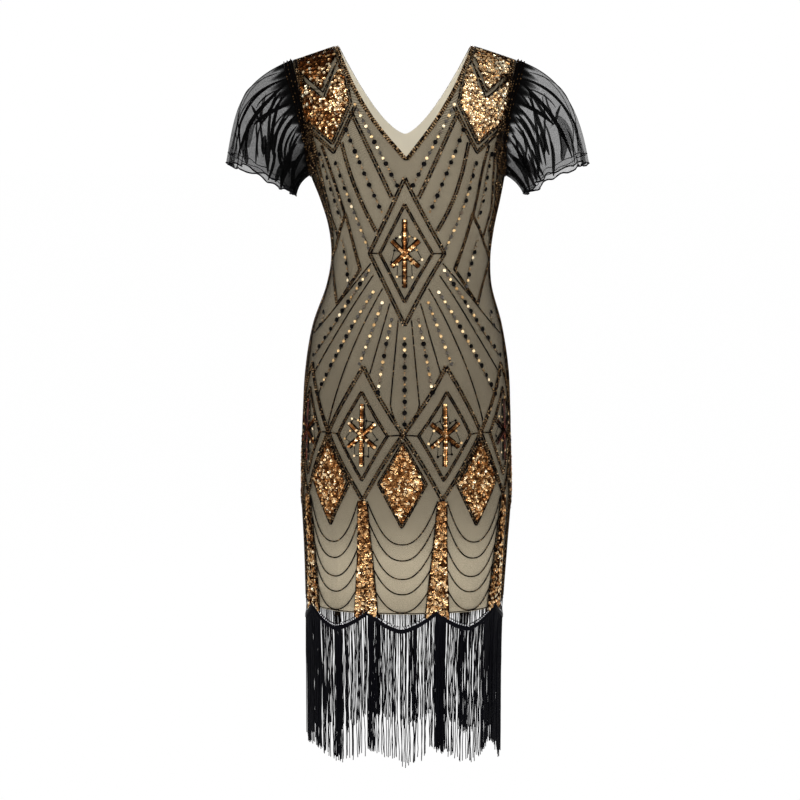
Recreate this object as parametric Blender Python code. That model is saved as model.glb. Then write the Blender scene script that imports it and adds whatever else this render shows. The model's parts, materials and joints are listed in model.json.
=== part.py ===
"""Flapper dress: beaded net over a plain lining, with gathered net sleeves and a scalloped hem with fringe.

The dress keeps the shape it has when worn. Its origin is between the two neck points, where the shoulders
hold it up. X runs across, -Y is the front and Z is up. Every wall is a grid of points on the worn figure,
moved out along its normals by its layer's own distances, so that the layers never touch.
"""

import math

import bpy
import numpy as np

CM = 0.01
MM = 0.001

# Neck, shoulder and underarm: distances from the centre, and drops below the neck points.
NECK_HALF_WIDTH = 10.4 * CM
SHOULDER_HALF_WIDTH = 17.6 * CM
SHOULDER_DROP = 2.2 * CM
SHOULDER_ROUND = 11.0 * CM
SHOULDER_ROW_DROP = 1.5 * CM
UNDERARM_DROP = 19.9 * CM

# Hem: the lining ends straight, and the net over it ends in scallops, one to each unit of the pattern.
LINING_HEM_DROP = 88.9 * CM
LOWEST_ROW_DROP = 85.0 * CM
SCALLOP_PEAK_DROP = 88.6 * CM
SCALLOP_DEPTH = 2.9 * CM
SCALLOP_POWER = 1.5
UNITS_PER_PANEL = 4

# Neckline of each panel: its drop in centimetres, how much of its rise is straight, and the power that the
# rest grows by.
NECKLINE_COLUMNS = ("drop", "straightness", "bow_power")
NECKLINES = {"front": (17.0, 0.73, 3.2), "back": (13.7, 0.0, 1.5)}

# Layers, as distances out from the lining's inner face.
LINING_LAYER = (0.0 * MM, 1.0 * MM)
NET_LAYER = (1.4 * MM, 2.4 * MM)
TRIM_LAYER = (2.8 * MM, 4.0 * MM)
SEAM_GAP = 0.4 * MM
NECK_BAND_WIDTH = 8.0 * MM
NECK_BAND_LEAN = 11.0 * MM

# Fringe.
STRANDS_PER_UNIT = 20
STRAND_SHARE = 0.5
STRAND_LENGTH = 21.8 * CM
STRAND_UNEVENNESS = 0.6 * CM
UNEVEN_STEPS = (2.4, 0.9)
FRINGE_BAND_HALF_WIDTH = 3.0 * MM

# Sleeves.
SLEEVE_WAVES = 12
POINTS_PER_WAVE = 4
SLEEVE_ROWS = 6
SLEEVE_LIFT = 4.2 * MM
SLEEVE_THICKNESS = 1.0 * MM
WAVE_AT_ARMHOLE = 0.8 * MM
WAVE_AT_CUFF = 5.5 * MM
CUFF_HALF_DEPTH = 6.9 * CM

# Grid of a panel.
NECK_COLUMNS = 7
SHOULDER_COLUMNS = 5
ROWS_BELOW_UNDERARM = 11
ROWS_ABOVE_UNDERARM = 6
ARMHOLE_REACH_POWER = 3
SECTION_SAMPLES = 361

# The worn figure, in centimetres: drop below the neck points, half width, depth in front and behind, and how
# far its centre line stands to the right.
SECTION_COLUMNS = ("drop", "half_width", "front", "back", "to_right")
SECTIONS = (
    (-3.0, 19.2, 6.2, 6.2, 0.0),
    (2.0, 18.8, 7.2, 7.4, 0.0),
    (6.0, 18.1, 8.3, 8.6, 0.0),
    (10.0, 17.3, 9.3, 9.4, 0.0),
    (14.0, 16.5, 10.1, 9.7, 0.1),
    (17.0, 15.8, 10.7, 9.6, 0.25),
    (19.9, 15.1, 11.0, 9.4, 0.5),
    (23.7, 14.0, 11.0, 8.8, 0.9),
    (28.2, 12.85, 10.4, 8.2, 1.1),
    (33.3, 12.35, 9.7, 8.1, 1.0),
    (37.1, 12.75, 9.9, 9.1, 0.75),
    (43.9, 14.8, 10.9, 11.6, 0.45),
    (51.3, 16.0, 12.0, 13.2, 0.4),
    (58.0, 16.35, 12.6, 13.8, 0.35),
    (64.0, 16.5, 12.7, 13.6, 0.3),
    (71.0, 16.55, 12.5, 13.0, 0.3),
    (80.0, 16.0, 12.0, 12.1, 0.2),
    (89.0, 15.6, 11.4, 11.4, 0.0),
    (95.0, 15.5, 11.3, 11.3, -0.1),
    (118.0, 15.5, 11.3, 11.3, -0.1),
)
ROUNDNESS = 2.25
BUST_FULLNESS = 1.0 * CM
BUST_HALF_SPACING = 7.8 * CM
BUST_DROP = 21.5 * CM
BUST_HALF_SPREAD = 4.6 * CM
BUST_HALF_HEIGHT = 6.0 * CM

# Armhole edge of a panel, in centimetres.
ARMHOLE_COLUMNS = ("drop", "half_width")
ARMHOLE = (
    (2.2, 17.6),
    (4.5, 16.9),
    (8.0, 16.05),
    (12.5, 15.4),
    (16.5, 15.1),
    (19.9, 15.1),
)

# The line a sleeve follows from armhole to cuff, at its crown and at its underarm, in centimetres: where it
# ends, and how far and which way it sets off and arrives.
SLEEVE_COLUMNS = ("end_x", "end_z", "set_off_x", "set_off_z", "arrive_x", "arrive_z")
SLEEVE_LINES = {
    "left_crown": (28.2, -18.3, 6.8, -2.7, 0.8, -7.2),
    "right_crown": (28.3, -18.7, 5.6, -2.6, 0.8, -7.2),
    "underarm": (18.5, -23.1, 1.5, -0.9, 0.8, -1.8),
}
SLEEVE_SIDE_SET_OFF = 2.0 * CM

COLOURS = {
    "lining": (0.50, 0.43, 0.31, 1.0),
    "net": (0.05, 0.045, 0.04, 1.0),
    "sleeve": (0.03, 0.03, 0.03, 1.0),
    "neck_band": (0.10, 0.05, 0.03, 1.0),
    "fringe": (0.012, 0.012, 0.018, 1.0),
}
ROUGHNESS = {"lining": 0.55, "net": 0.8, "sleeve": 0.8, "neck_band": 0.35, "fringe": 0.45}
CREASE_ANGLE = math.radians(50)
SLOPE_STEP = 0.2 * MM


def column(table, names, name):
    """One named column of a table of centimetres, as an array in metres."""
    return np.array([row[names.index(name)] for row in table]) * CM


def smooth_curve(xs, ys, x):
    """A curve through the points: a cubic on each stretch, sloped at each point as its neighbours are."""
    slopes = np.gradient(ys, xs)
    at = np.clip(np.searchsorted(xs, x) - 1, 0, len(xs) - 2)
    run = xs[at + 1] - xs[at]
    t = (x - xs[at]) / run
    return (
        (2 * t**3 - 3 * t**2 + 1) * ys[at]
        + (t**3 - 2 * t**2 + t) * run * slopes[at]
        + (3 * t**2 - 2 * t**3) * ys[at + 1]
        + (t**3 - t**2) * run * slopes[at + 1]
    )


def section(name, z):
    """One size of the worn figure at height z."""
    drops = column(SECTIONS, SECTION_COLUMNS, "drop")
    return smooth_curve(drops, column(SECTIONS, SECTION_COLUMNS, name), -z)


def armhole_half_width(z):
    """Distance of the armhole edge from the centre at height z."""
    drops = column(ARMHOLE, ARMHOLE_COLUMNS, "drop")
    return smooth_curve(drops, column(ARMHOLE, ARMHOLE_COLUMNS, "half_width"), -z)


def past_neck(x):
    """How far along the shoulder x is: 0 up to the neck point, 1 at the shoulder point."""
    return np.maximum((np.abs(x) - NECK_HALF_WIDTH) / (SHOULDER_HALF_WIDTH - NECK_HALF_WIDTH), 0.0)


def depth(side, x, z):
    """How far the lining stands from the plane of the side seams: a rounded section, fuller at the bust,
    that closes over the shoulder along a quarter circle."""
    across = np.clip(np.abs(x) / section("half_width", z), 0.0, 1.0)
    out = section("front" if side < 0 else "back", z)
    if side < 0:
        sideways = (np.abs(x) - BUST_HALF_SPACING) / BUST_HALF_SPREAD
        up = (z + BUST_DROP) / BUST_HALF_HEIGHT
        out = out + BUST_FULLNESS * np.exp(-(sideways**2) - up**2)
    below = np.clip((-SHOULDER_DROP * past_neck(x) - z) / SHOULDER_ROUND, 0.0, 1.0)
    return out * (1 - across**ROUNDNESS) ** (1 / ROUNDNESS) * np.sqrt(1 - (1 - below) ** 2)


def on_figure(side, x, z):
    """Points of the lining's inner face at (x, z), half a seam's gap clear of the side seams' plane."""
    return np.stack([x, side * (SEAM_GAP / 2 + depth(side, x, z)), z], axis=-1)


def level_row(side, z, shares):
    """Points at height z, one height for all or one to each, at the shares of the way round a panel by
    length: -1 at one side seam and 1 at the other."""
    heights = np.broadcast_to(z, shares.shape)
    angle = np.linspace(-math.pi / 2, math.pi / 2, SECTION_SAMPLES)[:, None]
    x = section("half_width", heights) * np.sign(angle) * np.abs(np.sin(angle)) ** (2 / ROUNDNESS)
    y = depth(side, x, np.broadcast_to(heights, x.shape))
    steps = np.hypot(np.diff(x, axis=0), np.diff(y, axis=0))
    length = np.concatenate([np.zeros((1, len(shares))), np.cumsum(steps, axis=0)])
    wanted = (shares + 1) / 2 * length[-1]
    at = np.array([np.interp(wanted[k], length[:, k], x[:, k]) for k in range(len(shares))])
    return on_figure(side, at, heights)


def panel_shares():
    """The panel's columns, evenly round it from side seam to side seam."""
    return np.linspace(-1, 1, 2 * (NECK_COLUMNS + SHOULDER_COLUMNS) + 1)


def top_half_widths():
    """Distances from the centre at which the columns meet the top edge: up the neckline, closer together
    towards the neck point, then evenly along the shoulder seam."""
    up_neck = NECK_HALF_WIDTH * np.sin(np.linspace(0, math.pi / 2, NECK_COLUMNS + 1))
    along_shoulder = np.linspace(NECK_HALF_WIDTH, SHOULDER_HALF_WIDTH, SHOULDER_COLUMNS + 1)
    half = np.concatenate([up_neck, along_shoulder[1:]])
    return np.concatenate([-half[:0:-1], half])


def scallop_hem(shares):
    """Height of the net's hem: a point between units, and a rounded trough at the middle of each."""
    units = np.abs(shares) * UNITS_PER_PANEL / 2
    from_trough = np.abs(units - np.round(units)) * 2
    return -SCALLOP_PEAK_DROP - SCALLOP_DEPTH * (1 - from_trough**SCALLOP_POWER)


def panel_grid(side, hem):
    """Rows of points of a panel, from hem to top. Below the underarm the rows are level and go from seam to
    seam. Above it each column runs to its place on the neckline or the shoulder seam, and the outermost is
    the armhole. The last row but one lies a neck band's width from the neckline, and leans down along it
    towards the neck point."""
    shares = panel_shares()
    rows = [level_row(side, hem, shares)]
    for drop in np.linspace(LOWEST_ROW_DROP, UNDERARM_DROP, ROWS_BELOW_UNDERARM):
        rows.append(level_row(side, -drop, shares))
    x_under = rows[-1][:, 0]
    x_top = top_half_widths()
    past = past_neck(x_top)
    neckline = dict(zip(NECKLINE_COLUMNS, NECKLINES["front" if side < 0 else "back"]))
    neck_drop, straight, power = neckline["drop"] * CM, neckline["straightness"], neckline["bow_power"]
    s = np.clip(np.abs(x_top) / NECK_HALF_WIDTH, 0.0, 1.0)
    z_top = -neck_drop * (1 - straight * s - (1 - straight) * s**power) - SHOULDER_DROP * past
    slope = straight + (1 - straight) * power * s ** (power - 1)
    angle = np.arctan(slope * neck_drop / NECK_HALF_WIDTH)
    lean = NECK_BAND_LEAN * s**2
    away = np.where(s > 0, NECK_BAND_WIDTH * np.sin(angle) - lean * np.cos(angle), 0.0) * (1 - past)
    under = NECK_BAND_WIDTH * np.where(s > 0, np.cos(angle), 1 / np.cos(angle)) + lean * np.sin(angle)
    x_band = x_top + np.sign(x_top) * away
    z_band = z_top - under * (1 - past) - SHOULDER_ROW_DROP * past
    for j in range(1, ROWS_ABOVE_UNDERARM):
        t = j / (ROWS_ABOVE_UNDERARM - 1)
        x = (1 - t) * x_under + t * x_band
        z = -(1 - t) * UNDERARM_DROP + t * z_band
        to_armhole = armhole_half_width(z[-1]) - x[-1]
        rows.append(on_figure(side, x + to_armhole * shares**ARMHOLE_REACH_POWER, z))
    rows.append(on_figure(side, x_top, z_top))
    return np.array(rows)


def normals(grid, side):
    """Unit normals of the worn figure at a grid's points, out of the dress, from how its depth changes
    towards the centre and downwards."""
    x, z = np.abs(grid[..., 0]), grid[..., 2]
    here = depth(side, x, z)
    across = (here - depth(side, x - SLOPE_STEP, z)) / SLOPE_STEP
    up = (here - depth(side, x, z - SLOPE_STEP)) / SLOPE_STEP
    n = np.stack([-np.sign(grid[..., 0]) * across, np.full_like(here, side), -up], axis=-1)
    return n / np.linalg.norm(n, axis=-1, keepdims=True)


def material(name):
    """The material of that name, made the first time it's asked for."""
    made = bpy.data.materials.get(name)
    if made is None:
        made = bpy.data.materials.new(name)
        made.use_nodes = True
        shader = made.node_tree.nodes["Principled BSDF"]
        shader.inputs["Base Color"].default_value = COLOURS[name]
        shader.inputs["Roughness"].default_value = ROUGHNESS[name]
        shader.inputs["Metallic"].default_value = 0.0
    return made


def solid(name, finish, points, quads):
    """A named closed solid from points and quads. Each quad is cut in two along its rising diagonal on the
    right and its falling one on the left, and all are turned over if the solid comes out inside out. Last,
    the points move aside with the figure's centre line."""
    quads = np.array(quads)
    left = points[quads, 0].sum(axis=1) < 0
    quads[left] = np.roll(quads[left], 1, axis=1)
    triangles = np.concatenate([quads[:, [0, 1, 2]], quads[:, [0, 2, 3]]])
    a, b, c = (points[triangles[:, k]] for k in range(3))
    if np.einsum("ij,ij->i", a, np.cross(b, c)).sum() < 0:
        triangles = triangles[:, ::-1]
    points = points + section("to_right", points[:, 2])[:, None] * np.array([1.0, 0.0, 0.0])
    mesh = bpy.data.meshes.new(name)
    mesh.from_pydata(points.tolist(), [], triangles.tolist())
    mesh.materials.append(material(finish))
    made = bpy.data.objects.new(name, mesh)
    bpy.context.scene.collection.objects.link(made)
    mesh.shade_smooth()
    mesh.set_sharp_from_angle(angle=CREASE_ANGLE)


def wall(inner, outer, closed=False):
    """Points and quads of the wall between two grids. A closed one joins its last column to its first, and
    any other has an edge all round."""
    rows, columns = inner.shape[:2]
    points = np.concatenate([inner.reshape(-1, 3), outer.reshape(-1, 3)])
    out = rows * columns
    quads = []
    for j in range(columns if closed else columns - 1):
        k = (j + 1) % columns
        for i in range(rows - 1):
            a, b, c, d = i * columns + j, i * columns + k, (i + 1) * columns + k, (i + 1) * columns + j
            quads += [(out + a, out + b, out + c, out + d), (a, d, c, b)]
        top = (rows - 1) * columns
        quads += [(j, k, out + k, out + j), (top + k, top + j, out + top + j, out + top + k)]
    if not closed:
        for i in range(rows - 1):
            a, d = i * columns, (i + 1) * columns
            b, c = a + columns - 1, d + columns - 1
            quads += [(a, out + a, out + d, d), (out + b, b, c, out + c)]
    return points, quads


def layer(grid, out, distances):
    """The inner and outer face of a layer over a grid."""
    return tuple(grid + out * distance for distance in distances)


def fringe(name, side):
    """A narrow band along the net's scalloped hem, with a strand grown from every other stretch of its lower
    edge. The strands hang straight down and end a little unevenly."""
    strands = STRANDS_PER_UNIT * UNITS_PER_PANEL
    gap = (1 - STRAND_SHARE) / STRAND_SHARE
    steps = np.array([gap, 1.0] * strands + [gap])
    shares = np.concatenate([[0.0], np.cumsum(steps)]) / steps.sum() * 2 - 1
    hem = scallop_hem(shares)
    edge = np.array([level_row(side, hem + up * FRINGE_BAND_HALF_WIDTH, shares) for up in (-1, 1)])
    out = normals(edge, side)
    out[..., 2] = 0.0
    points, quads = wall(*layer(edge, out, TRIM_LAYER))
    points = points.tolist()
    lower_outer = 2 * len(shares)
    for number in range(strands):
        a = 2 * number + 1
        root = (a, a + 1, lower_outer + a + 1, lower_outer + a)
        quads.remove(root)
        uneven = math.sin(number * UNEVEN_STEPS[0]) * math.cos(number * UNEVEN_STEPS[1])
        length = STRAND_LENGTH + STRAND_UNEVENNESS * uneven
        tip = tuple(len(points) + k for k in range(4))
        points += [[points[r][0], points[r][1], points[r][2] - length] for r in root]
        quads += [(root[k], root[(k + 1) % 4], tip[(k + 1) % 4], tip[k]) for k in range(4)]
        quads.append(tip)
    solid(name, "fringe", np.array(points), quads)


def sleeve(name, hand, front, back):
    """A flared sleeve gathered into the armhole. Its first ring lies over the net at the armhole edge, and
    each of its lines runs out and down to the cuff. Waves grow along it from slight to their full size."""
    count = SLEEVE_WAVES * POINTS_PER_WAVE
    start = ring_over_armhole(hand, front, back, count)
    turn = np.arange(count) / count * 2 * math.pi
    lines = {key: dict(zip(SLEEVE_COLUMNS, np.array(row) * CM)) for key, row in SLEEVE_LINES.items()}
    crown, under = lines["right_crown" if hand > 0 else "left_crown"], lines["underarm"]
    crown_share = (1 - np.cos(turn)) / 2

    def between(key):
        return crown[key] * crown_share + under[key] * (1 - crown_share)

    facing = -np.sin(turn)
    end = np.stack([hand * between("end_x"), facing * CUFF_HALF_DEPTH, between("end_z")], axis=-1)
    set_off = np.stack(
        [hand * between("set_off_x"), facing * SLEEVE_SIDE_SET_OFF, between("set_off_z")], axis=-1
    )
    arrive = np.stack([hand * between("arrive_x"), 0 * turn, between("arrive_z")], axis=-1)
    rings = []
    for t in np.linspace(0, 1, SLEEVE_ROWS):
        rings.append(
            (1 - t) ** 3 * start
            + 3 * (1 - t) ** 2 * t * (start + set_off)
            + 3 * (1 - t) * t**2 * (end - arrive)
            + t**3 * end
        )
    rings = np.array(rings)
    round_it = (np.roll(rings, -1, axis=1) - np.roll(rings, 1, axis=1)) / 2
    out = np.cross(round_it, np.gradient(rings, axis=0))
    out /= np.linalg.norm(out, axis=-1, keepdims=True)
    out *= np.sign((out * (rings - rings.mean(axis=1, keepdims=True))).sum())
    t = np.linspace(0, 1, SLEEVE_ROWS)[:, None]
    swing = WAVE_AT_ARMHOLE + (WAVE_AT_CUFF - WAVE_AT_ARMHOLE) * t
    middle = rings + out * (swing * np.cos(turn * SLEEVE_WAVES))[..., None]
    half = out * SLEEVE_THICKNESS / 2
    solid(name, "sleeve", *wall(middle - half, middle + half, closed=True))


def ring_over_armhole(hand, front, back, count):
    """Points evenly along the armhole, front edge up and back edge down, lifted clear of the net."""
    outermost = -1 if hand > 0 else 0
    above = slice(-ROWS_ABOVE_UNDERARM - 1, None)
    edges = [grid[above, outermost] + out[above, outermost] * SLEEVE_LIFT for grid, out in (front, back)]
    loop = np.concatenate([edges[0], edges[1][::-1]])
    loop = np.concatenate([loop, loop[:1]])
    length = np.concatenate([[0.0], np.cumsum(np.linalg.norm(np.diff(loop, axis=0), axis=-1))])
    at = np.arange(count) / count * length[-1]
    return np.stack([np.interp(at, length, loop[:, k]) for k in range(3)], axis=-1)


def main():
    for old in list(bpy.data.objects):
        bpy.data.objects.remove(old)
    nets = {}
    neck = slice(SHOULDER_COLUMNS, SHOULDER_COLUMNS + 2 * NECK_COLUMNS + 1)
    for name, side in (("front", -1), ("back", 1)):
        lining = panel_grid(side, -LINING_HEM_DROP)
        solid(f"{name}_lining", "lining", *wall(*layer(lining, normals(lining, side), LINING_LAYER)))
        net = panel_grid(side, scallop_hem(panel_shares()))
        out = normals(net, side)
        solid(f"{name}_net", "net", *wall(*layer(net, out, NET_LAYER)))
        band = layer(net[-2:, neck], out[-2:, neck], TRIM_LAYER)
        solid(f"{name}_neck_band", "neck_band", *wall(*band))
        fringe(f"{name}_fringe", side)
        nets[name] = (net, out)
    for name, hand in (("left_sleeve", -1), ("right_sleeve", 1)):
        sleeve(name, hand, nets["front"], nets["back"])


main()
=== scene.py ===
"""Flapper dress: the looks of its lining, net, sleeves, beadwork and fringe, laid out as a Blender add-on.

Each operator makes one piece, or a group of like pieces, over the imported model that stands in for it. Every
piece lies on one worn figure. A point of it is named by its share of the way round a panel, from -1 at one
side seam to 1 at the other with the pattern's centre line at 0, and by its height.
"""

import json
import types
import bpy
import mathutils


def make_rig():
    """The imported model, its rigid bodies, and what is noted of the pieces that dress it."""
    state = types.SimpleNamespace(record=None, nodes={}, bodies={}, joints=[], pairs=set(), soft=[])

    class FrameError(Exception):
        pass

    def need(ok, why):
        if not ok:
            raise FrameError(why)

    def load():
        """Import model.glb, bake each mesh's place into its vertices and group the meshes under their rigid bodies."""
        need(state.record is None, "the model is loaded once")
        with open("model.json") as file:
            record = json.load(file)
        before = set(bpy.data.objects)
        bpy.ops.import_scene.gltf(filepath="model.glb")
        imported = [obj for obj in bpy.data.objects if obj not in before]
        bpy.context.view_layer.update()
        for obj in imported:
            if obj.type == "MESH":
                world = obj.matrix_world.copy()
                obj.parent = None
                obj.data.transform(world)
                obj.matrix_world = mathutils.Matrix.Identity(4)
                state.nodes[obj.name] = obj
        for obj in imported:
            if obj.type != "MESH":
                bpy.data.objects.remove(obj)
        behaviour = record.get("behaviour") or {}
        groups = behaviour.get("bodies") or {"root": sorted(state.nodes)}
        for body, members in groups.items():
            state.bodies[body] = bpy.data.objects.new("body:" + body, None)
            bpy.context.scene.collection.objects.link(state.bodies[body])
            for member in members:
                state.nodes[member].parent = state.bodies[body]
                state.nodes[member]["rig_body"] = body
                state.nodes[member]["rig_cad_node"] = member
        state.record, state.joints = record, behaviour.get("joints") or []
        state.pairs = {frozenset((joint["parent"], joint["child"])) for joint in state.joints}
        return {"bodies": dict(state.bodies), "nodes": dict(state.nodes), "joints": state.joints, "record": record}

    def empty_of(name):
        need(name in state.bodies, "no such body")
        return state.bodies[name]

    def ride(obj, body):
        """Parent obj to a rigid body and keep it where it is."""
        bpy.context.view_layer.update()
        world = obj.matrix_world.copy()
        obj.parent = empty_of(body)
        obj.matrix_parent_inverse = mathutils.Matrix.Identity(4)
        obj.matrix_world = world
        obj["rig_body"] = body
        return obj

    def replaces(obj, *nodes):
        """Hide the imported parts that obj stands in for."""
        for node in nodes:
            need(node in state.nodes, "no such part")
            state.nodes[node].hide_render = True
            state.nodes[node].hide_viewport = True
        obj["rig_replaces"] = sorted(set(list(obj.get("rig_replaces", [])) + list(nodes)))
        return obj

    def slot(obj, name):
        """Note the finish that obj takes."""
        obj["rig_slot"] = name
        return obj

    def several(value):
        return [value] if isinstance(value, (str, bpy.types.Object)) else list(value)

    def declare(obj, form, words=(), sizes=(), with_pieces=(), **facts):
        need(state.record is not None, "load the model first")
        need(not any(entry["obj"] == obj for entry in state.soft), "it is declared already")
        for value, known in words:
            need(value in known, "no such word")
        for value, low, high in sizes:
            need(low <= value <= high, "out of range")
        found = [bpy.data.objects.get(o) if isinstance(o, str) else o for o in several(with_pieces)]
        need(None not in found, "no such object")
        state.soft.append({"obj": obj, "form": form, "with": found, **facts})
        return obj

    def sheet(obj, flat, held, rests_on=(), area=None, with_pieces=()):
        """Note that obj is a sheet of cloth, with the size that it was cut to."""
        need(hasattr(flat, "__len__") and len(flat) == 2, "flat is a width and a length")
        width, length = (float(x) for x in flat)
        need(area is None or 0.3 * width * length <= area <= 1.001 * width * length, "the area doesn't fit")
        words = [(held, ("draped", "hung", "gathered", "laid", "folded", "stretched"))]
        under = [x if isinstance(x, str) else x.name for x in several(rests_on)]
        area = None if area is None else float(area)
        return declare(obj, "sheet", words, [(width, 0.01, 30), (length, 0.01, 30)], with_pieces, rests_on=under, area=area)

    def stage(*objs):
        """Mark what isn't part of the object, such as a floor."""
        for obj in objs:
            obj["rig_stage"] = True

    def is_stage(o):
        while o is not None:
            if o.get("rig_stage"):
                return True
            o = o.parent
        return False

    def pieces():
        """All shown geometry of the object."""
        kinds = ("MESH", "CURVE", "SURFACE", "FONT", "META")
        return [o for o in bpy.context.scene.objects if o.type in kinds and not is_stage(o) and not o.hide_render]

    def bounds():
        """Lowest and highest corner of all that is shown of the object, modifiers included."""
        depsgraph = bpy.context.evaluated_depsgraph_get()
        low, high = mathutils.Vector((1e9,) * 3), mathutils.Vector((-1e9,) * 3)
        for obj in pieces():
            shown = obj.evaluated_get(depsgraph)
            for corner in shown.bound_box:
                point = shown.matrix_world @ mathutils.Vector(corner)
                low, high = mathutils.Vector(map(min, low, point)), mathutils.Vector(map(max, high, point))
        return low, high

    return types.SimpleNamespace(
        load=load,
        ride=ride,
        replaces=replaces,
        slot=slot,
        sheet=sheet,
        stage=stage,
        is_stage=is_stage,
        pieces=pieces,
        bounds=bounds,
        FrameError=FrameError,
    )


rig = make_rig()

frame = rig.load()
cad_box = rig.bounds()

import json
import math
from collections import namedtuple
from functools import lru_cache

import bpy
import numpy as np

bl_info = {
    "name": "Flapper Dress",
    "version": (1, 0, 0),
    "blender": (4, 5, 0),
    "location": "View3D > Sidebar > Flapper Dress",
    "description": "Beaded net flapper dress with gathered sleeves and a fringed scalloped hem",
    "category": "Add Mesh",
}

CM = 0.01
MM = 0.001
SIDES = {"front": -1, "back": 1}
HANDS = {"left": -1, "right": 1}

# The worn figure, in centimetres: drop below the neck points, half width, depth in front and behind, and how
# far its centre line stands to the right.
SECTION_COLUMNS = ("drop", "half_width", "front", "back", "to_right")
SECTIONS = (
    (-3.0, 19.2, 6.2, 6.2, 0.0),
    (2.0, 18.8, 7.2, 7.4, 0.0),
    (6.0, 18.1, 8.3, 8.6, 0.0),
    (10.0, 17.3, 9.3, 9.4, 0.0),
    (14.0, 16.5, 10.1, 9.7, 0.1),
    (17.0, 15.8, 10.7, 9.6, 0.25),
    (19.9, 15.1, 11.0, 9.4, 0.5),
    (23.7, 14.0, 11.0, 8.8, 0.9),
    (28.2, 12.85, 10.4, 8.2, 1.1),
    (33.3, 12.35, 9.7, 8.1, 1.0),
    (37.1, 12.75, 9.9, 9.1, 0.75),
    (43.9, 14.8, 10.9, 11.6, 0.45),
    (51.3, 16.0, 12.0, 13.2, 0.4),
    (58.0, 16.35, 12.6, 13.8, 0.35),
    (64.0, 16.5, 12.7, 13.6, 0.3),
    (71.0, 16.55, 12.5, 13.0, 0.3),
    (80.0, 16.0, 12.0, 12.1, 0.2),
    (89.0, 15.6, 11.4, 11.4, 0.0),
    (95.0, 15.5, 11.3, 11.3, -0.1),
    (118.0, 15.5, 11.3, 11.3, -0.1),
)
ROUNDNESS = 2.25
BUST_FULLNESS = 1.0 * CM
BUST_HALF_SPACING = 7.8 * CM
BUST_DROP = 21.5 * CM
BUST_HALF_SPREAD = 4.6 * CM
BUST_HALF_HEIGHT = 6.0 * CM

# Neck, shoulder, armhole (drop and half width in centimetres) and hem.
NECK_HALF_WIDTH = 10.4 * CM
SHOULDER_HALF_WIDTH = 17.6 * CM
SHOULDER_DROP = 2.2 * CM
SHOULDER_ROUND = 11.0 * CM
UNDERARM_DROP = 19.9 * CM
ARMHOLE = ((2.2, 17.6), (4.5, 16.9), (8.0, 16.05), (12.5, 15.4), (16.5, 15.1), (19.9, 15.1))
Neckline = namedtuple("Neckline", "drop straightness bow_power")
NECKLINES = {"front": Neckline(17.0, 0.73, 3.2), "back": Neckline(13.7, 0.0, 1.5)}
LINING_HEM_DROP = 88.9 * CM
LOWEST_ROW_DROP = 85.0 * CM
SCALLOP_PEAK_DROP = 88.6 * CM
SCALLOP_DEPTH = 2.9 * CM
SCALLOP_POWER = 1.5
UNITS_PER_PANEL = 4

# The cut of each cloth before it was sewn, in metres and square metres, and what it hangs from or lies on.
Cut = namedtuple("Cut", "cloth width length area held rests_on")
CUTS = (
    Cut("front_lining_cloth", 0.47, 0.91, 0.357, "hung", ("back_lining_cloth",)),
    Cut("back_lining_cloth", 0.48, 0.91, 0.360, "hung", ("front_lining_cloth",)),
    Cut("front_net_cloth", 0.47, 0.94, 0.370, "hung", ("front_lining_cloth",)),
    Cut("back_net_cloth", 0.48, 0.94, 0.373, "hung", ("back_lining_cloth",)),
    Cut("left_sleeve_cloth", 0.52, 0.21, 0.072, "gathered", ("front_net_cloth", "back_net_cloth")),
    Cut("right_sleeve_cloth", 0.52, 0.21, 0.072, "gathered", ("front_net_cloth", "back_net_cloth")),
)
CLOTH_UNDER = {"net": "net", "fringe": "net", "neck_band": "net", "sleeve": "sleeve", "lining": "lining"}

# Layers, as distances out from the figure. Beads lie on the net.
SEAM_GAP = 0.4 * MM
SEAM_BINDING = 0.8 * MM
LINING_OUT = 0.5 * MM
LINING_THICKNESS = 0.9 * MM
HEM_STITCH_UP = 1.5 * MM
HEM_STITCH = 0.75 * MM
NET_OUT = 1.9 * MM
BEAD_OUT = 2.9 * MM
SEQUIN_OUT = 3.0 * MM
HEM_BAND_OUT = 3.2 * MM
THREAD_OUT = 2.25 * MM
THREAD_SHARE = 0.52
UNDERLAY_DEPTH = 0.5 * MM
SKIRT_SWING = 1.5 * MM

# Grid of a cloth panel.
NECK_COLUMNS = 26
SHOULDER_COLUMNS = 14
PANEL_SHARES = np.linspace(-1, 1, 2 * (NECK_COLUMNS + SHOULDER_COLUMNS) + 1)
PANEL_HALF_LENGTH = 23.0 * CM
ROWS_BELOW_UNDERARM = 112
ROWS_ABOVE_UNDERARM = 36
ARMHOLE_REACH_POWER = 3
SLOPE_STEP = 0.2 * MM

# How closely the net's threads lie, as a multiple of the flat net's: drops in centimetres at the middle of a panel,
# how much closer they are at its side seams, and the share of the panel from which they draw closer. By height it is
# partly the net's own density and partly painted light: low on the skirt the threads lie far less closely, for the
# light that shows through the lining from behind there.
NET_CLOSENESS_AND_BACKLIGHT = (
    (0.0, 1.13), (22.0, 1.15), (36.0, 1.24), (52.0, 1.43), (66.0, 1.43), (73.0, 1.1), (77.0, 0.82),
    (80.0, 0.56), (85.0, 0.57), (87.5, 0.74), (88.3, 0.7), (89.5, 0.04), (92.0, 0.04),
)
SIDE_CLOSENESS = 2.6
SIDES_FROM = 0.7

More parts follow.
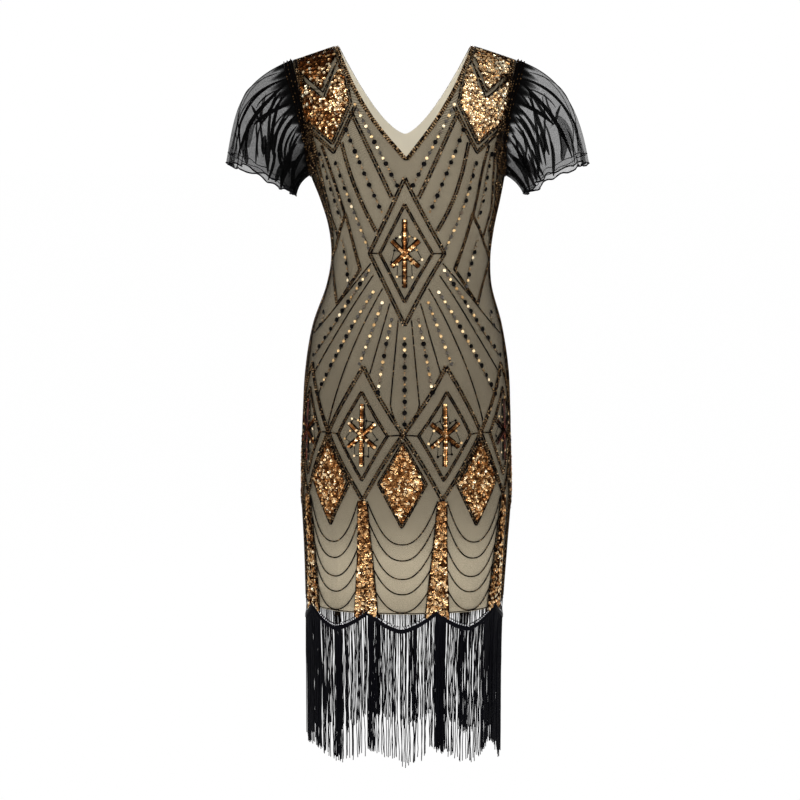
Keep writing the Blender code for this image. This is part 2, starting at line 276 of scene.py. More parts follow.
# The gathered-up band of net and beads along each side seam: drops in centimetres and the share of the panel
# at which it starts, how much closer its threads lie, how soft its edge is, its top, and its rows of beads,
# as shares of its width.
SIDE_BAND = (
    (14.0, 0.72), (19.9, 0.745), (24.0, 0.78), (28.0, 0.83), (33.0, 0.93), (40.0, 0.91), (47.0, 0.88),
    (55.0, 0.86), (62.0, 0.855), (75.0, 0.87), (88.0, 0.86),
)
SIDE_BAND_CLOSENESS = 2.3
SIDE_BAND_EDGE = 0.05
SIDE_BAND_TOP = 15.0 * CM
SIDE_BAND_ROWS = (0.05, 0.2, 0.38, 0.6, 0.82, 1.0)

# Soft folds of the body, on both panels: where each starts and ends (share of the panel's half, and drop in
# centimetres), how wide it is in centimetres and how far it stands out in millimetres, below 0 for a trough.
Fold = namedtuple("Fold", "share_from drop_from share_to drop_to half_width height")
FOLDS = (
    (0.82, 22.0, 0.42, 33.0, 1.1, 1.3), (0.88, 25.5, 0.52, 36.5, 0.9, -1.1),
    (-0.80, 23.5, -0.46, 34.5, 1.2, 1.2), (-0.90, 28.0, -0.55, 37.5, 0.9, -1.0),
    (0.70, 39.0, 0.86, 49.0, 1.2, 0.9), (-0.66, 38.0, -0.84, 48.0, 1.0, 1.0),
    (0.48, 62.0, 0.51, 87.0, 1.3, 1.4), (0.30, 70.0, 0.27, 87.5, 0.9, -1.2),
    (0.05, 66.0, 0.02, 86.5, 1.4, 1.1), (-0.21, 68.0, -0.24, 87.0, 1.1, -1.3),
    (-0.47, 60.0, -0.49, 87.0, 1.2, 1.5), (-0.72, 64.0, -0.70, 88.0, 1.0, -1.2),
    (0.74, 66.0, 0.77, 88.0, 1.1, 1.2), (0.0, 17.5, 0.0, 24.0, 0.35, -0.5),
    (0.12, 50.0, 0.2, 58.0, 1.6, 0.9), (-0.10, 48.0, -0.19, 59.0, 1.7, 0.9),
)

# Sleeves: the line that a sleeve follows from armhole to cuff, in centimetres: its end, how it sets off from
# the armhole and how it arrives at the cuff, each across and up. Then its sizes, waves, ripples and gathers.
SLEEVE_LINES = {
    "left": np.array((28.3, -18.3, 9.0, -3.7, 1.9, -8.0)),
    "right": np.array((28.5, -18.2, 7.9, -2.9, 0.7, -7.4)),
    "underarm": np.array((18.5, -23.1, 1.5, -0.9, 0.8, -1.8)),
}
SLEEVE_SIDE_SET_OFF = 2.0 * CM
SLEEVE_LIFT = 3.4 * MM
CUFF_HALF_DEPTH = 6.9 * CM
SLEEVE_WAVES = 12
WAVE_AT_ARMHOLE = 0.8 * MM
WAVE_AT_CUFF = 4.0 * MM
RIPPLES = 37
RIPPLE = 1.1 * MM
HEM_WAVE_DROP = 2.2 * MM
HEM_MIDDLE_RISE = 0.7 * CM
SLEEVE_COLUMNS_ROUND = 220
SLEEVE_ROWS = 44
GATHERS = 45
GATHER_LIFT = 0.6 * MM
GATHER_REACH = 0.13

# How closely the sleeves' threads lie: at the gathers, towards the underarm and how many degrees round it
# that reaches, and elsewhere.
GATHER_CLOSENESS = 10.0
UNDERARM_CLOSENESS = {"left": 4.2, "right": 1.2}
UNDERARM_REACH = 46.0
SLEEVE_CLOSENESS = {"left": 0.86, "right": 0.62}

# The beads over the gathers: where their rows lie on the way to the cuff, how far out, their shares of lit
# ones and of glints and the lit ones' tones. The hem: its roll, and where its stitches run.
SLEEVE_BEAD_ROWS = (0.008, 0.028, 0.048)
SLEEVE_BEAD_OUT = 1.6 * MM
SLEEVE_BEAD_LOOK = (0.3, 0.0, (0.46, 0.62))
HEM_ROLL = 1.2 * MM
HEM_STITCHES_AT = 0.93

# Folds of a sleeve's front: where each starts and ends, as degrees round the sleeve from the underarm and as
# hundredths of the way from armhole to cuff, how many degrees its middle stands aside, its half width in
# millimetres, and how many times the net lies over itself. The back takes the other sleeve's, mirrored.
SleeveFold = namedtuple("SleeveFold", "turn_from way_from turn_to way_to bow half_width layers")
SLEEVE_FOLDS = {
    "left": (
        (152, 8, 140, 93, 8, 1.0, 3), (172, 20, 156, 95, 6, 0.9, 3), (177, 3, 179, 60, 0, 1.6, 3),
        (146, 5, 131, 93, -10, 2.6, 6), (117, 8, 121, 52, 0, 2.3, 6), (143, 13, 78, 85, -16, 1.6, 4),
        (143, 28, 88, 76, -8, 1.2, 3), (131, 8, 116, 27, 0, 1.2, 4), (104, 12, 78, 62, 0, 1.8, 5),
        (93, 12, 74, 52, 0, 1.4, 4), (115, 44, 97, 90, 0, 1.2, 3), (111, 8, 93, 45, 2, 0.9, 3),
        (88, 28, 60, 55, 0, 1.5, 4), (80, 12, 52, 45, 0, 1.5, 4), (66, 15, 48, 80, 0, 2.2, 5),
        (58, 42, 62, 97, 0, 3.2, 3), (45, 25, 46, 98, 3, 3.6, 4), (30, 10, 32, 98, -4, 3.4, 4),
        (16, 10, 14, 98, 2, 2.6, 4), (101, 50, 89, 73, 0, 2.8, 3), (127, 60, 112, 93, 3, 4.2, 2),
        (76, 55, 72, 97, -4, 1.7, 5),
    ),
    "right": (
        (164, 8, 178, 42, 0, 0.9, 3), (150, 6, 140, 92, 9, 2.4, 6), (140, 10, 141, 42, 3, 1.0, 3),
        (177, 38, 150, 95, 3, 1.5, 4), (146, 26, 116, 50, 0, 1.2, 3), (148, 44, 118, 50, 0, 1.7, 4),
        (138, 14, 119, 50, -6, 1.8, 5), (130, 15, 88, 72, -8, 2.0, 5), (114, 8, 76, 80, -3, 1.5, 4),
        (99, 10, 60, 85, 0, 2.4, 5), (86, 12, 50, 90, 0, 1.5, 4), (74, 10, 40, 75, 3, 1.9, 4),
        (50, 8, 30, 95, 0, 3.6, 4), (30, 8, 12, 97, 0, 3.6, 5), (14, 8, 2, 97, 0, 3.0, 5),
        (101, 60, 82, 97, 0, 1.9, 4), (134, 64, 122, 95, 0, 1.4, 3), (127, 48, 105, 86, 0, 1.1, 3),
        (133, 48, 122, 84, 2, 5.5, 1), (66, 45, 62, 97, -4, 1.6, 4),
    ),
}
SLEEVE_FOLD_LIFT = 0.6 * MM
SLEEVE_FOLD_RISE = 0.7 * MM
FOLD_WIDTH = 1.55 * MM
FOLD_CLOSENESS = {"left": 1.7, "right": 1.3}

# Narrow folds of loose net along the sides: where each starts and ends (share of the panel's half, and drop
# in centimetres), how far its middle stands aside, in shares, and its half width in millimetres. Each has a
# few layers of net, stops short of the side seam, and lies off the net and rises along its middle.
Tuck = namedtuple("Tuck", "share_from drop_from share_to drop_to bow half_width")
TUCKS = (
    (0.90, 16.5, 0.79, 29.5, 0.02, 1.3), (0.80, 19.5, 0.87, 33.5, -0.02, 1.1),
    (0.96, 20.0, 0.90, 38.0, -0.03, 2.0), (0.84, 29.0, 0.95, 43.0, 0.02, 1.4),
    (0.98, 21.0, 0.975, 60.0, -0.01, 2.2), (0.92, 43.0, 0.965, 61.0, 0.01, 1.2),
    (0.975, 60.0, 0.95, 89.0, 0.0, 2.0), (0.90, 73.0, 0.965, 89.5, 0.01, 1.6),
    (0.985, 75.0, 0.985, 90.5, 0.0, 2.4),
)
TUCK_LAYERS = 3
TUCK_END = 0.9985
TUCK_LIFT = 0.4 * MM
TUCK_RISE = 0.6 * MM

# Beadwork that is drawn in front view, in centimetres from the centre line and below the neck points, for
# one half of a panel; the other half is its mirror image. Bow is how far a line's middle stands sideways.
Line = namedtuple("Line", "x_from drop_from x_to drop_to bow")
BOLD_RAYS = ((8.3, 10.0, 2.0, 23.2, 0.0), (9.7, 14.8, 4.4, 28.4, 0.5))
LIGHT_RAYS = ((12.8, 15.2, 6.9, 34.6, -0.4), (14.0, 14.7, 10.2, 29.8, 0.2), (14.9, 15.0, 11.1, 28.8, -0.1))
THIN_RAYS = (
    (5.2, 33.5, 14.1, 45.0, 0.0), (4.8, 35.3, 14.4, 51.6, 0.3), (3.4, 37.4, 12.0, 59.4, 1.0),
    (2.3, 39.7, 5.4, 50.6, 0.0), (1.0, 42.3, 2.2, 55.2, 0.0), (2.2, 55.2, 0.2, 59.8, 0.35),
)
SIDE_LOZENGE = ((9.1, 25.7), (11.3, 33.4), (10.5, 40.2), (6.8, 34.4))

# Dotted lines, the last on the centre line: the same five numbers, and the sequins from the top down, evenly
# spaced: g gold, s smoky, k large and black, b a small bronze bead. Each kind has its tones and its size.
DOTTED_LINES = (
    ((7.6, 9.1, 1.2, 21.3, 0.0), "gsgsgsgkgsgkbkbk"),
    ((8.9, 12.9, 3.5, 25.3, 0.1), "kbkbkgkbkbkbkbkb"),
    ((10.4, 18.0, 5.5, 31.0, 0.0), "kbkbkgkgsgsgsgs"),
    ((12.9, 16.6, 9.7, 26.4, 0.0), "kbkbkbkbkbkb"),
    ((9.5, 30.0, 8.6, 37.2, -0.2), "bbkgkbkgs"),
    ((5.4, 34.6, 14.0, 48.3, 0.0), "gsgkgsgkgkgkbkbkbkbk"),
    ((4.8, 38.0, 13.4, 54.2, 0.4), "gsgsgsgkgkgkgkgkbkgkbk"),
    ((3.4, 39.6, 6.9, 49.1, 0.0), "gsgsgsgsgsgs"),
    ((2.0, 42.2, 4.1, 53.4, 0.1), "sgsgkbkgsgsgk"),
    ((12.3, 41.6, 12.9, 43.6, 0.0), "kbk"),
    ((0.0, 45.1, 0.0, 59.2, 0.0), "gkgkbkbkbkbkbkbkb"),
)
DOT_TONES = {"g": (0.62, 0.94), "s": (0.44, 0.52), "k": (0.0, 0.1), "b": (0.52, 0.6)}
DOT_SIZES = {"g": 0.84, "s": 0.94, "k": 1.22, "b": 0.55}
DOT_TILT = 0.08
DOT_LIFT = 0.9 * MM

# Lozenges: drops of the top, the corners and the bottom, and half width. The first pair stands on the centre
# line. Those round the stars stand between two sequin lozenges, and their half widths are in pattern units;
# the others' are in centimetres.
CENTRE_LOZENGES = ((20.2, 31.9, 43.1, 5.4), (24.2, 31.9, 39.5, 3.8))
STAR_LOZENGES = ((49.5, 60.0, 70.5, 0.5), (53.4, 60.2, 67.3, 0.33))
STAR_HALF_WIDTH = 4.1
SEQUIN_LOZENGE = (61.2, 67.8, 74.7, 3.65)
STAR_UNITS = (-1.5, -0.5, 0.5, 1.5)
SEQUIN_UNITS = (-2.0, -1.0, 0.0, 1.0, 2.0)

# A star: its upright's half length and its slanting arms' ends, as shares of its lozenge's half height and
# half width, the number of loose sequins round it, its own sequins, its stems, and the tones of both.
STAR_UPRIGHT = 0.70
STAR_ARM = (0.52, 0.27)
STAR_DOTS = 14
STAR_DOT_REACHES = (0.5, 0.72)
STAR_SEQUIN_SPACING = 3.2 * MM
STAR_SEQUIN_LEAN = 0.3
STAR_SEQUIN_LIFT = 0.8 * MM
STAR_SEQUIN_SIZES = (0.9, 1.1)
STAR_STEM = 0.55 * MM
STAR_BRIGHT_SHARE = 0.17
STAR_BRIGHT = (0.66, 0.88)
STAR_DULL = (0.14, 0.5)
STAR_DOT_SIZE = 0.66
STAR_DOT_TILT = 0.12
STAR_DOT_LIFT = 0.6 * MM
STAR_DOT_SHARE = 0.6
STAR_DOT_BRIGHT = (0.64, 0.9)
STAR_DOT_DARK = 0.1

# Shoulder pieces of sequins, one half of a panel, in front view and centimetres, and the chevron left open.
SHOULDER_PATCH = ((11.1, 0.2), (9.2, 4.6), (8.4, 8.7), (11.1, 14.9), (15.4, 11.2), (16.2, 6.6), (16.9, 2.2))
SHOULDER_OUTLINE = ((16.0, 11.6), (10.9, 16.3), (7.7, 9.4))
CHEVRON = ((16.9, 3.9), (12.6, 7.6), (10.2, 1.6))
CHEVRON_HALF_WIDTH = 3.6 * MM

# Columns of sequins down to the points of the hem (drops and half widths in centimetres), and the swags of
# beads between them: drops of each one's ends and middle, and the power of its curve.
COLUMN_TOP_DROP = 70.8
COLUMN_HALF_WIDTHS = ((70.8, 0.72), (76.0, 0.98), (81.0, 1.33), (86.0, 1.75), (90.5, 2.1))
SWAGS = ((70.6, 77.5, 2.3), (74.0, 80.1, 2.3), (78.2, 83.1, 2.3), (81.6, 85.6, 2.2), (85.2, 88.6, 2.2))

# The pattern's units stand a little apart at the middle of a panel, less at the hem, and lean to one side
# there: drops in centimetres and shares.
SPREAD = ((0.0, 0.29), (58.0, 0.29), (70.5, 0.12), (80.0, 0.07), (89.0, 0.06))
LEAN = ((0.0, 0.0), (52.0, -0.006), (60.0, -0.012), (70.0, -0.018), (89.0, -0.022))

# Dense rows of beads along the armholes and side seams, in millimetres in from the edge.
EDGE_ROWS = (1.4, 3.6, 5.8, 8.0, 10.2)
EDGE_TOP_DROP = 3.2 * CM
EDGE_LOW_DROP = 88.0 * CM

# The rows of the neck edge, and the hem's cords and beads, in millimetres from their edges. Each row of the
# hem's beads has its share of lit ones.
NECK_ROWS = (1.1, 3.1, 5.1)
BRAID_ROWS = (-3.4, -1.4, 0.6)
BRAID = 1.5 * MM
HEM_BEAD_ROWS = ((3.6, 0.9), (5.8, 0.0))

# The fringe's bundles, where more strands hang together: middle and half width in pattern units, and how
# many strands. The fringe draws inward by a share, and hangs straight below a drop.
Bundle = namedtuple("Bundle", "middle half_width strands")
BUNDLES = {
    "front": ((-1.70, 0.12, 8), (-1.42, 0.08, 14), (-1.00, 0.05, 16), (-0.50, 0.04, 16),
              (0.52, 0.085, 50), (1.28, 0.06, 14), (1.55, 0.14, 32), (1.86, 0.08, 18)),
    "back": ((-1.70, 0.14, 10), (-1.05, 0.06, 16), (-0.42, 0.07, 18), (0.15, 0.05, 12), (0.95, 0.08, 20),
             (1.6, 0.14, 26)),
}
STRAND_RINGS = 17
BACK_STRANDS = 1.25
FRINGE_INWARD = 0.02
FRINGE_STRAIGHT_DROP = 97.5 * CM
OUTERMOST_STRAND = 1.996
# How strands hang: drift, sway and curl aside, in pattern units, and unevenness in depth, in millimetres.
STRAND_DRIFT = 0.022
STRAND_SWAY = 0.010
STRAND_CURL = 0.006
STRAND_DEPTH = 1.6
# Strands' lengths follow a slow wave along the hem. They grow at one end of a panel and shorten at the
# other: from which pattern unit, and by how much for each unit past it.
LENGTH_WAVE = 0.35 * CM
LONGER_END = (1.3, 1.6 * CM)
SHORTER_END = (1.55, 2.0 * CM)

# Rows of beads: how far a double row's halves stand aside, which bead they are of and how large it is, their
# shares of lit beads and of glints, and the lit beads' tones.
BeadKind = namedtuple("BeadKind", "aside bead scale bright glint lit_tones")
BEAD_KINDS = {
    "bold": BeadKind(1.95 * MM, "bold_bead", 1.0, 0.68, 0.02, (0.54, 0.74)),
    "light": BeadKind(1.4 * MM, "light_bead", 1.0, 0.62, 0.02, (0.54, 0.74)),
    "thin": BeadKind(0.0, "thin_bead", 1.0, 0.35, 0.01, (0.54, 0.76)),
    "swag": BeadKind(0.0, "thin_bead", 0.9, 0.35, 0.01, (0.54, 0.76)),
    "edge": BeadKind(0.0, "thin_bead", 1.0, 0.6, 0.01, (0.46, 0.66)),
}
# The dark beads' tones, how uneven beads' sizes are, and half a bead's length, as a share of its diameter.
DARK_BEADS = (0.0, 0.2)
BEAD_SIZES = (0.92, 1.06)
BEAD_HALF_LENGTH = 0.36

# Layers of sequins: their pitch and size against the settings', how far they scatter and tilt, the darkest
# tone and how far it rises, how far out they lie, and the seed of their draws.
SequinLayer = namedtuple("SequinLayer", "name pitch size scatter tilt darkest rise out seed")
SEQUIN_LAYERS = (
    SequinLayer("sequins", 1.0, 1.0, 0.28, 0.24, 0.0, 1.0, SEQUIN_OUT, 51),
    # The under layer is a dark copy of the sequins: partly the dark net and thread that show between real sequins,
    # partly painted shade in the gaps between them.
    SequinLayer("under_sequins", 1.12, 1.15, 0.05, 0.05, 0.02, 0.14, SEQUIN_OUT - UNDERLAY_DEPTH, 55),
)
# How uneven sequins' sizes are, how far they may lift, in millimetres, how many sides they have, and how far
# their middles are sunk, as a share of their diameter.
SEQUIN_SIZES = (0.9, 1.08)
SEQUIN_LIFT = 0.8
SEQUIN_EDGES = 8
SEQUIN_CUP = 0.16

# How far sequins keep from the edges of what they fill, the rectangles that their rows cover, in metres, and
# where the beads beside a column end.
EDGE_MARGINS = {
    "patch": 2.6 * MM, "chevron": 2.4 * MM, "lozenge": 3.2 * MM, "column": 2.0 * MM, "hem": 3 * MM,
}
PATCH_SPAN = ((8.0 * CM, 0.178), (0.1 * CM, 0.152))
COLUMN_SPAN = ((-0.022, 0.022), (COLUMN_TOP_DROP * CM, 0.915))
COLUMN_FOOT = 0.905

# Sequins' tones: of bright ones; the share of bright ones and the dull ones' tones; and how far columns lighten
# towards the hem, and how far all of them are lightened towards the sides, as painted light where they turn away from
# the lamps.
BRIGHT_TONES = (0.7, 0.94)
LOZENGE_SEQUINS = (0.3, (0.22, 0.6))
COLUMN_SEQUINS = (0.38, (0.46, 0.70))
COLUMN_DARK_SHARE = 0.24
COLUMN_DARK_TONE = 0.1
COLUMN_LIGHTENING = 0.10
SIDE_PAINTED_LIGHT = 0.14

# Painted light and shade in the shoulder sequins' tones, in metres in front view: a place on a line, how steeply the
# line falls outwards and how far it reaches, for the painted shade along the seam and the painted highlights below the
# chevron; and the place of the painted highlights at the neck with its two reaches. More of the right shoulder's are
# bright, and its dull ones are lighter by a share of that: painted light from that side.
SHOULDER_SEAM_SHADE = (0.169, 0.022, 0.45, 0.022)
CHEVRON_LIGHT = (0.13, 0.075, -0.7, 0.016)
NECK_LIGHT = (0.098, 0.062, 0.016, 0.028)
SHOULDER_BRIGHT = (0.72, 0.93)
SHOULDER_DULL = (0.1, 0.46)
RIGHT_SHOULDER_PAINTED_LIGHT = 0.62
RIGHT_DULL_PAINTED_LIGHT = 0.62

# Tones of beads and sequins, from 0 to 1, and their colours.
BEAD_STOPS = (
    (0.0, (0.002, 0.001, 0.001)), (0.4, (0.012, 0.006, 0.003)), (0.6, (0.14, 0.080, 0.034)),
    (1.0, (0.66, 0.45, 0.25)),
)
SEQUIN_STOPS = (
    (0.0, (0.003, 0.001, 0.0003)), (0.25, (0.085, 0.025, 0.005)), (0.55, (0.33, 0.15, 0.050)),
    (0.8, (0.90, 0.56, 0.26)), (1.0, (1.0, 0.88, 0.62)),
)
DOT_STOPS = (
    (0.0, (0.002, 0.002, 0.002)), (0.3, (0.010, 0.009, 0.010)), (0.5, (0.070, 0.062, 0.054)),
    (0.62, (0.34, 0.20, 0.08)), (0.8, (0.80, 0.56, 0.28)), (1.0, (1.0, 0.90, 0.66)),
)
HEM_BEAD_STOPS = (
    (0.0, (0.002, 0.002, 0.004)), (0.4, (0.010, 0.010, 0.016)), (0.55, (0.75, 0.75, 0.80)),
    (1.0, (1.0, 1.0, 1.0)),
)

# Glass and foil: how metallic and how rough each is and how much it shines, and the colour of the light
# that all of them throw back at a low slant.
BEAD_GLASS = (0.3, 0.35, 0.06)
COPPER_FOIL = (0.85, 0.24)
DOT_FOIL = (0.25, 0.35, 0.03)
HEM_GLASS = (0.3, 0.25, 0.2)
SLANTING_TINT = (0.42, 0.29, 0.18)

# Nets: a thread's width as a share of a cell, and how much an open cell and a thread cover.
BODY_NET = (0.09, 0.30, 0.9)
SLEEVE_NET = (0.1, 0.39, 0.95)

# The studio: lamps, each with its power as a share of the strongest, the camera, and the floor with how far
# it is whitened in the picture. In metres and degrees, and millimetres for the lens and the sensor.
Lamp = namedtuple("Lamp", "name place turn size power")
LAMPS = (
    Lamp("front", (0.0, -3.2, 1.0), (66, 0, 0), 1.0, 1.0),
    Lamp("left", (-2.0, -2.3, 0.3), (78, 0, -41), 1.2, 0.5),
    Lamp("right", (2.1, -2.2, 0.1), (82, 0, 43), 1.2, 0.42),
    Lamp("rear", (0.0, 3.2, 0.9), (-66, 0, 0), 1.0, 0.9),
    Lamp("rear_left", (-2.0, 2.2, 0.3), (-78, 0, 41), 1.2, 0.4),
    Lamp("rear_right", (2.0, 2.2, 0.3), (-78, 0, -41), 1.2, 0.4),
)
CAMERA_PLACE = (-0.0072, -3.6, -0.088)
CAMERA_TURN = 82.5
CAMERA_LENS = 101.3
CAMERA_SENSOR = 36.0
FLOOR_HALF_WIDTH = 40.0
FLOOR_GREY = 0.9
FLOOR_WHITENED = 0.995


# Sums on arrays.


def unit(v):
    """Directions of length 1: each divided by its length."""
    return v / np.linalg.norm(v, axis=-1, keepdims=True)


def eased(t):
    """A step from 0 to 1 with soft ends: three squares less two cubes."""
    t = np.clip(t, 0, 1)
    return t**2 * (3 - 2 * t)


def part_way(start, end, t, bow=0.0):
    """From start to end as t runs from 0 to 1, with the middle moved aside by a bow, as a parabola."""
    return start + (end - start) * t + bow * 4 * t * (1 - t)


def run_along(points, axis=0):
    """Distance along lines of points, added up from their first one."""
    step = np.linalg.norm(np.diff(points, axis=axis), axis=-1)
    return np.concatenate([0 * step.take([0], axis), np.cumsum(step, axis)], axis)


def bell(*distances):
    """1 at a place and dying away round it: e to the power of minus the sum of the squared distances."""
    return np.exp(-sum(distance**2 for distance in distances))


def together(rows):
    """A list of equal sets of arrays as one set, each array joined end to end."""
    return tuple(np.concatenate(part) for part in zip(*rows))


def by_drop(table, z):
    """A value that runs straight between a table's drops, at height z."""
    drops, values = np.array(table).T
    return np.interp(-np.asarray(z) / CM, drops, values)


def smooth_curve(xs, ys, x):
    """A curve through the points: a cubic on each stretch, sloped at each point as its neighbours are."""
    slopes = np.gradient(ys, xs)
    at = np.clip(np.searchsorted(xs, x) - 1, 0, len(xs) - 2)
    run = xs[at + 1] - xs[at]
    t = (x - xs[at]) / run
    ends = (2 * t**3 - 3 * t**2 + 1) * ys[at] + (3 * t**2 - 2 * t**3) * ys[at + 1]
    return ends + run * ((t**3 - 2 * t**2 + t) * slopes[at] + (t**3 - t**2) * slopes[at + 1])


# The worn figure.


def section(name, z):
    """One size of the worn figure at height z."""
    table = np.array(SECTIONS) * CM
    return smooth_curve(table[:, 0], table[:, SECTION_COLUMNS.index(name)], -z)


def armhole_half_width(z):
    """Distance of the armhole edge from the centre at height z."""
    return smooth_curve(*np.array(ARMHOLE).T * CM, -z)


def past_neck(x):
    """How far along the shoulder x is: 0 up to the neck point, 1 at the shoulder point."""
    return np.maximum((np.abs(x) - NECK_HALF_WIDTH) / (SHOULDER_HALF_WIDTH - NECK_HALF_WIDTH), 0.0)


def depth(side, x, z):
    """How far the lining stands from the plane of the side seams: a rounded section, fuller at the bust,
    that closes over the shoulder along a quarter circle."""
    across = np.clip(np.abs(x) / section("half_width", z), 0.0, 1.0)
    out = section("front" if side < 0 else "back", z)
    if side < 0:
        sideways = (np.abs(x) - BUST_HALF_SPACING) / BUST_HALF_SPREAD
        up = (z + BUST_DROP) / BUST_HALF_HEIGHT
        out = out + BUST_FULLNESS * bell(sideways, up)
    below = np.clip((-SHOULDER_DROP * past_neck(x) - z) / SHOULDER_ROUND, 0.0, 1.0)
    return out * (1 - across**ROUNDNESS) ** (1 / ROUNDNESS) * np.sqrt(1 - (1 - below) ** 2)


def normals(side, x, z):
    """Unit normals of the figure, out of the dress, from how its depth changes towards the centre and
    downwards."""
    here = depth(side, np.abs(x), z)
    across = (here - depth(side, np.abs(x) - SLOPE_STEP, z)) / SLOPE_STEP
    up = (here - depth(side, np.abs(x), z - SLOPE_STEP)) / SLOPE_STEP
    return unit(np.stack([-np.sign(x) * across, np.full_like(here, side), -up], axis=-1))


TABLE_HEIGHTS = np.linspace(-0.98, 0.02, 201)
TABLE_ANGLES = np.linspace(-math.pi / 2, math.pi / 2, 361)
TABLE_SHARES = np.linspace(-1, 1, 401)


def x_at_angle(angle, z):
    """Distance from the figure's own centre line at an angle of its rounded section."""
    return section("half_width", z) * np.sign(angle) * np.abs(np.sin(angle)) ** (2 / ROUNDNESS)


@lru_cache(maxsize=None)
def round_tables(side):
    """Two tables for a panel at each height: the share of the way round at each angle of its section, and
    the angle at each share. Shares are by length along the section."""
    x = x_at_angle(TABLE_ANGLES, TABLE_HEIGHTS[:, None])
    length = run_along(np.stack([x, depth(side, x, TABLE_HEIGHTS[:, None])], axis=-1), axis=1)
    shares = 2 * length / length[:, -1:] - 1
    return shares, np.array([np.interp(TABLE_SHARES, row, TABLE_ANGLES) for row in shares])


def look_up(table, columns, z, at):
    """The table's value at height z and column value at, mixed from its four nearest entries."""
    row = np.clip((z - TABLE_HEIGHTS[0]) / (TABLE_HEIGHTS[1] - TABLE_HEIGHTS[0]), 0, len(table) - 1.001)
    col = np.clip((at - columns[0]) / (columns[1] - columns[0]), 0, len(columns) - 1.001)
    i, j = row.astype(int), col.astype(int)
    u, v = row - i, col - j
    low = table[i, j] * (1 - v) + table[i, j + 1] * v
    high = table[i + 1, j] * (1 - v) + table[i + 1, j + 1] * v
    return low * (1 - u) + high * u


def x_at(side, share, z):
    """Distance from the figure's own centre line at a share of the way round a panel."""
    return x_at_angle(look_up(round_tables(side)[1], TABLE_SHARES, z, share), z)


def share_at(side, x, z):
    """The share of the way round a panel at distance x from the figure's own centre line."""
    across = np.clip(np.abs(x) / section("half_width", z), 0.0, 1.0)
    angle = np.sign(x) * np.arcsin(across ** (ROUNDNESS / 2))
    return look_up(round_tables(side)[0], TABLE_ANGLES, z, angle)


def off_centre(side, z):
    """The figure leans a little aside, and the pattern's centre line hangs straight. This is that line's
    share of the way round the panel."""
    return share_at(side, -section("to_right", z), z)


def pattern_share(x, z):
    """Share of the pattern from its centre line to a point that stands x to the side of it in front view."""
    centre = off_centre(-1, z)
    there = share_at(-1, -np.abs(x) - section("to_right", z), z)
    return np.sign(x) * np.clip((centre - there) / (1 + centre), 0.0, 1.0)


def relief(side, share, z):
    """How far the cloth's soft folds stand out: each is a ridge or trough with a rounded section along its
    own line, dying away at both ends, or only above where it runs into the hem."""
    out = np.zeros(np.broadcast(share, z).shape)
    for fold in map(Fold._make, FOLDS):
        t = (-z / CM - fold.drop_from) / (fold.drop_to - fold.drop_from)
        middle = part_way(fold.share_from, fold.share_to, t)
        away = (-side * share - middle) * PANEL_HALF_LENGTH / (fold.half_width * CM)
        low_end = (1.12 - t) / 0.12 if fold.drop_to > 80 else (1 - t) / 0.3
        ends = eased(np.clip(t / 0.3, 0, 1) * np.clip(low_end, 0, 1))
        out = out + fold.height * MM * bell(away) * ends
    return out * np.clip((1 - np.abs(share)) / 0.06, 0, 1)


def net_float(share, z):
    """How far the net swings clear of the lining: a little near the side seams, low on the skirt."""
    return SKIRT_SWING * eased((-z - 0.62) / 0.2) * eased((np.abs(share) - 0.72) / 0.28)


def from_local(side, x, z, out, share=None):
    """Points and normals at x from the figure's own centre line, moved out, with the folds' relief."""
    n = normals(side, x, z)
    if share is None:
        share = share_at(side, x, z)
    points = np.stack([x, side * (SEAM_GAP / 2 + depth(side, x, z)), z], axis=-1)
    points = points + n * (out + relief(side, share, z))[..., None]
    points[..., 0] += section("to_right", points[..., 2])
    return points, n


def place(side, share, z, out):
    """Points and normals of the dress at a share of the pattern and a height, moved out by a distance."""
    share, z = np.broadcast_arrays(np.asarray(share, float), np.asarray(z, float))
    whole = share + off_centre(side, z) * (1 - np.abs(share))
    return from_local(side, x_at(side, whole, z), z, out + net_float(whole, z), whole)


def scallop_hem(share):
    """Height of the net's hem: a point between units, and a rounded trough at the middle of each. The
    scallops lean with the pattern."""
    inward = np.clip((1 - np.abs(share)) * 3, 0, 1)
    units = np.abs(share - LEAN[-1][1] * inward) * UNITS_PER_PANEL / 2
    from_trough = np.abs(units - np.round(units)) * 2
    return -SCALLOP_PEAK_DROP - SCALLOP_DEPTH * (1 - from_trough**SCALLOP_POWER)


def neckline(side_name, x):
    """Height of the neck edge at x, and of the shoulder seam past it."""
    neck = NECKLINES[side_name]
    s = np.clip(np.abs(x) / NECK_HALF_WIDTH, 0.0, 1.0)
    rise = part_way(s**neck.bow_power, s, neck.straightness)
    return -neck.drop * CM * (1 - rise) - SHOULDER_DROP * past_neck(x)


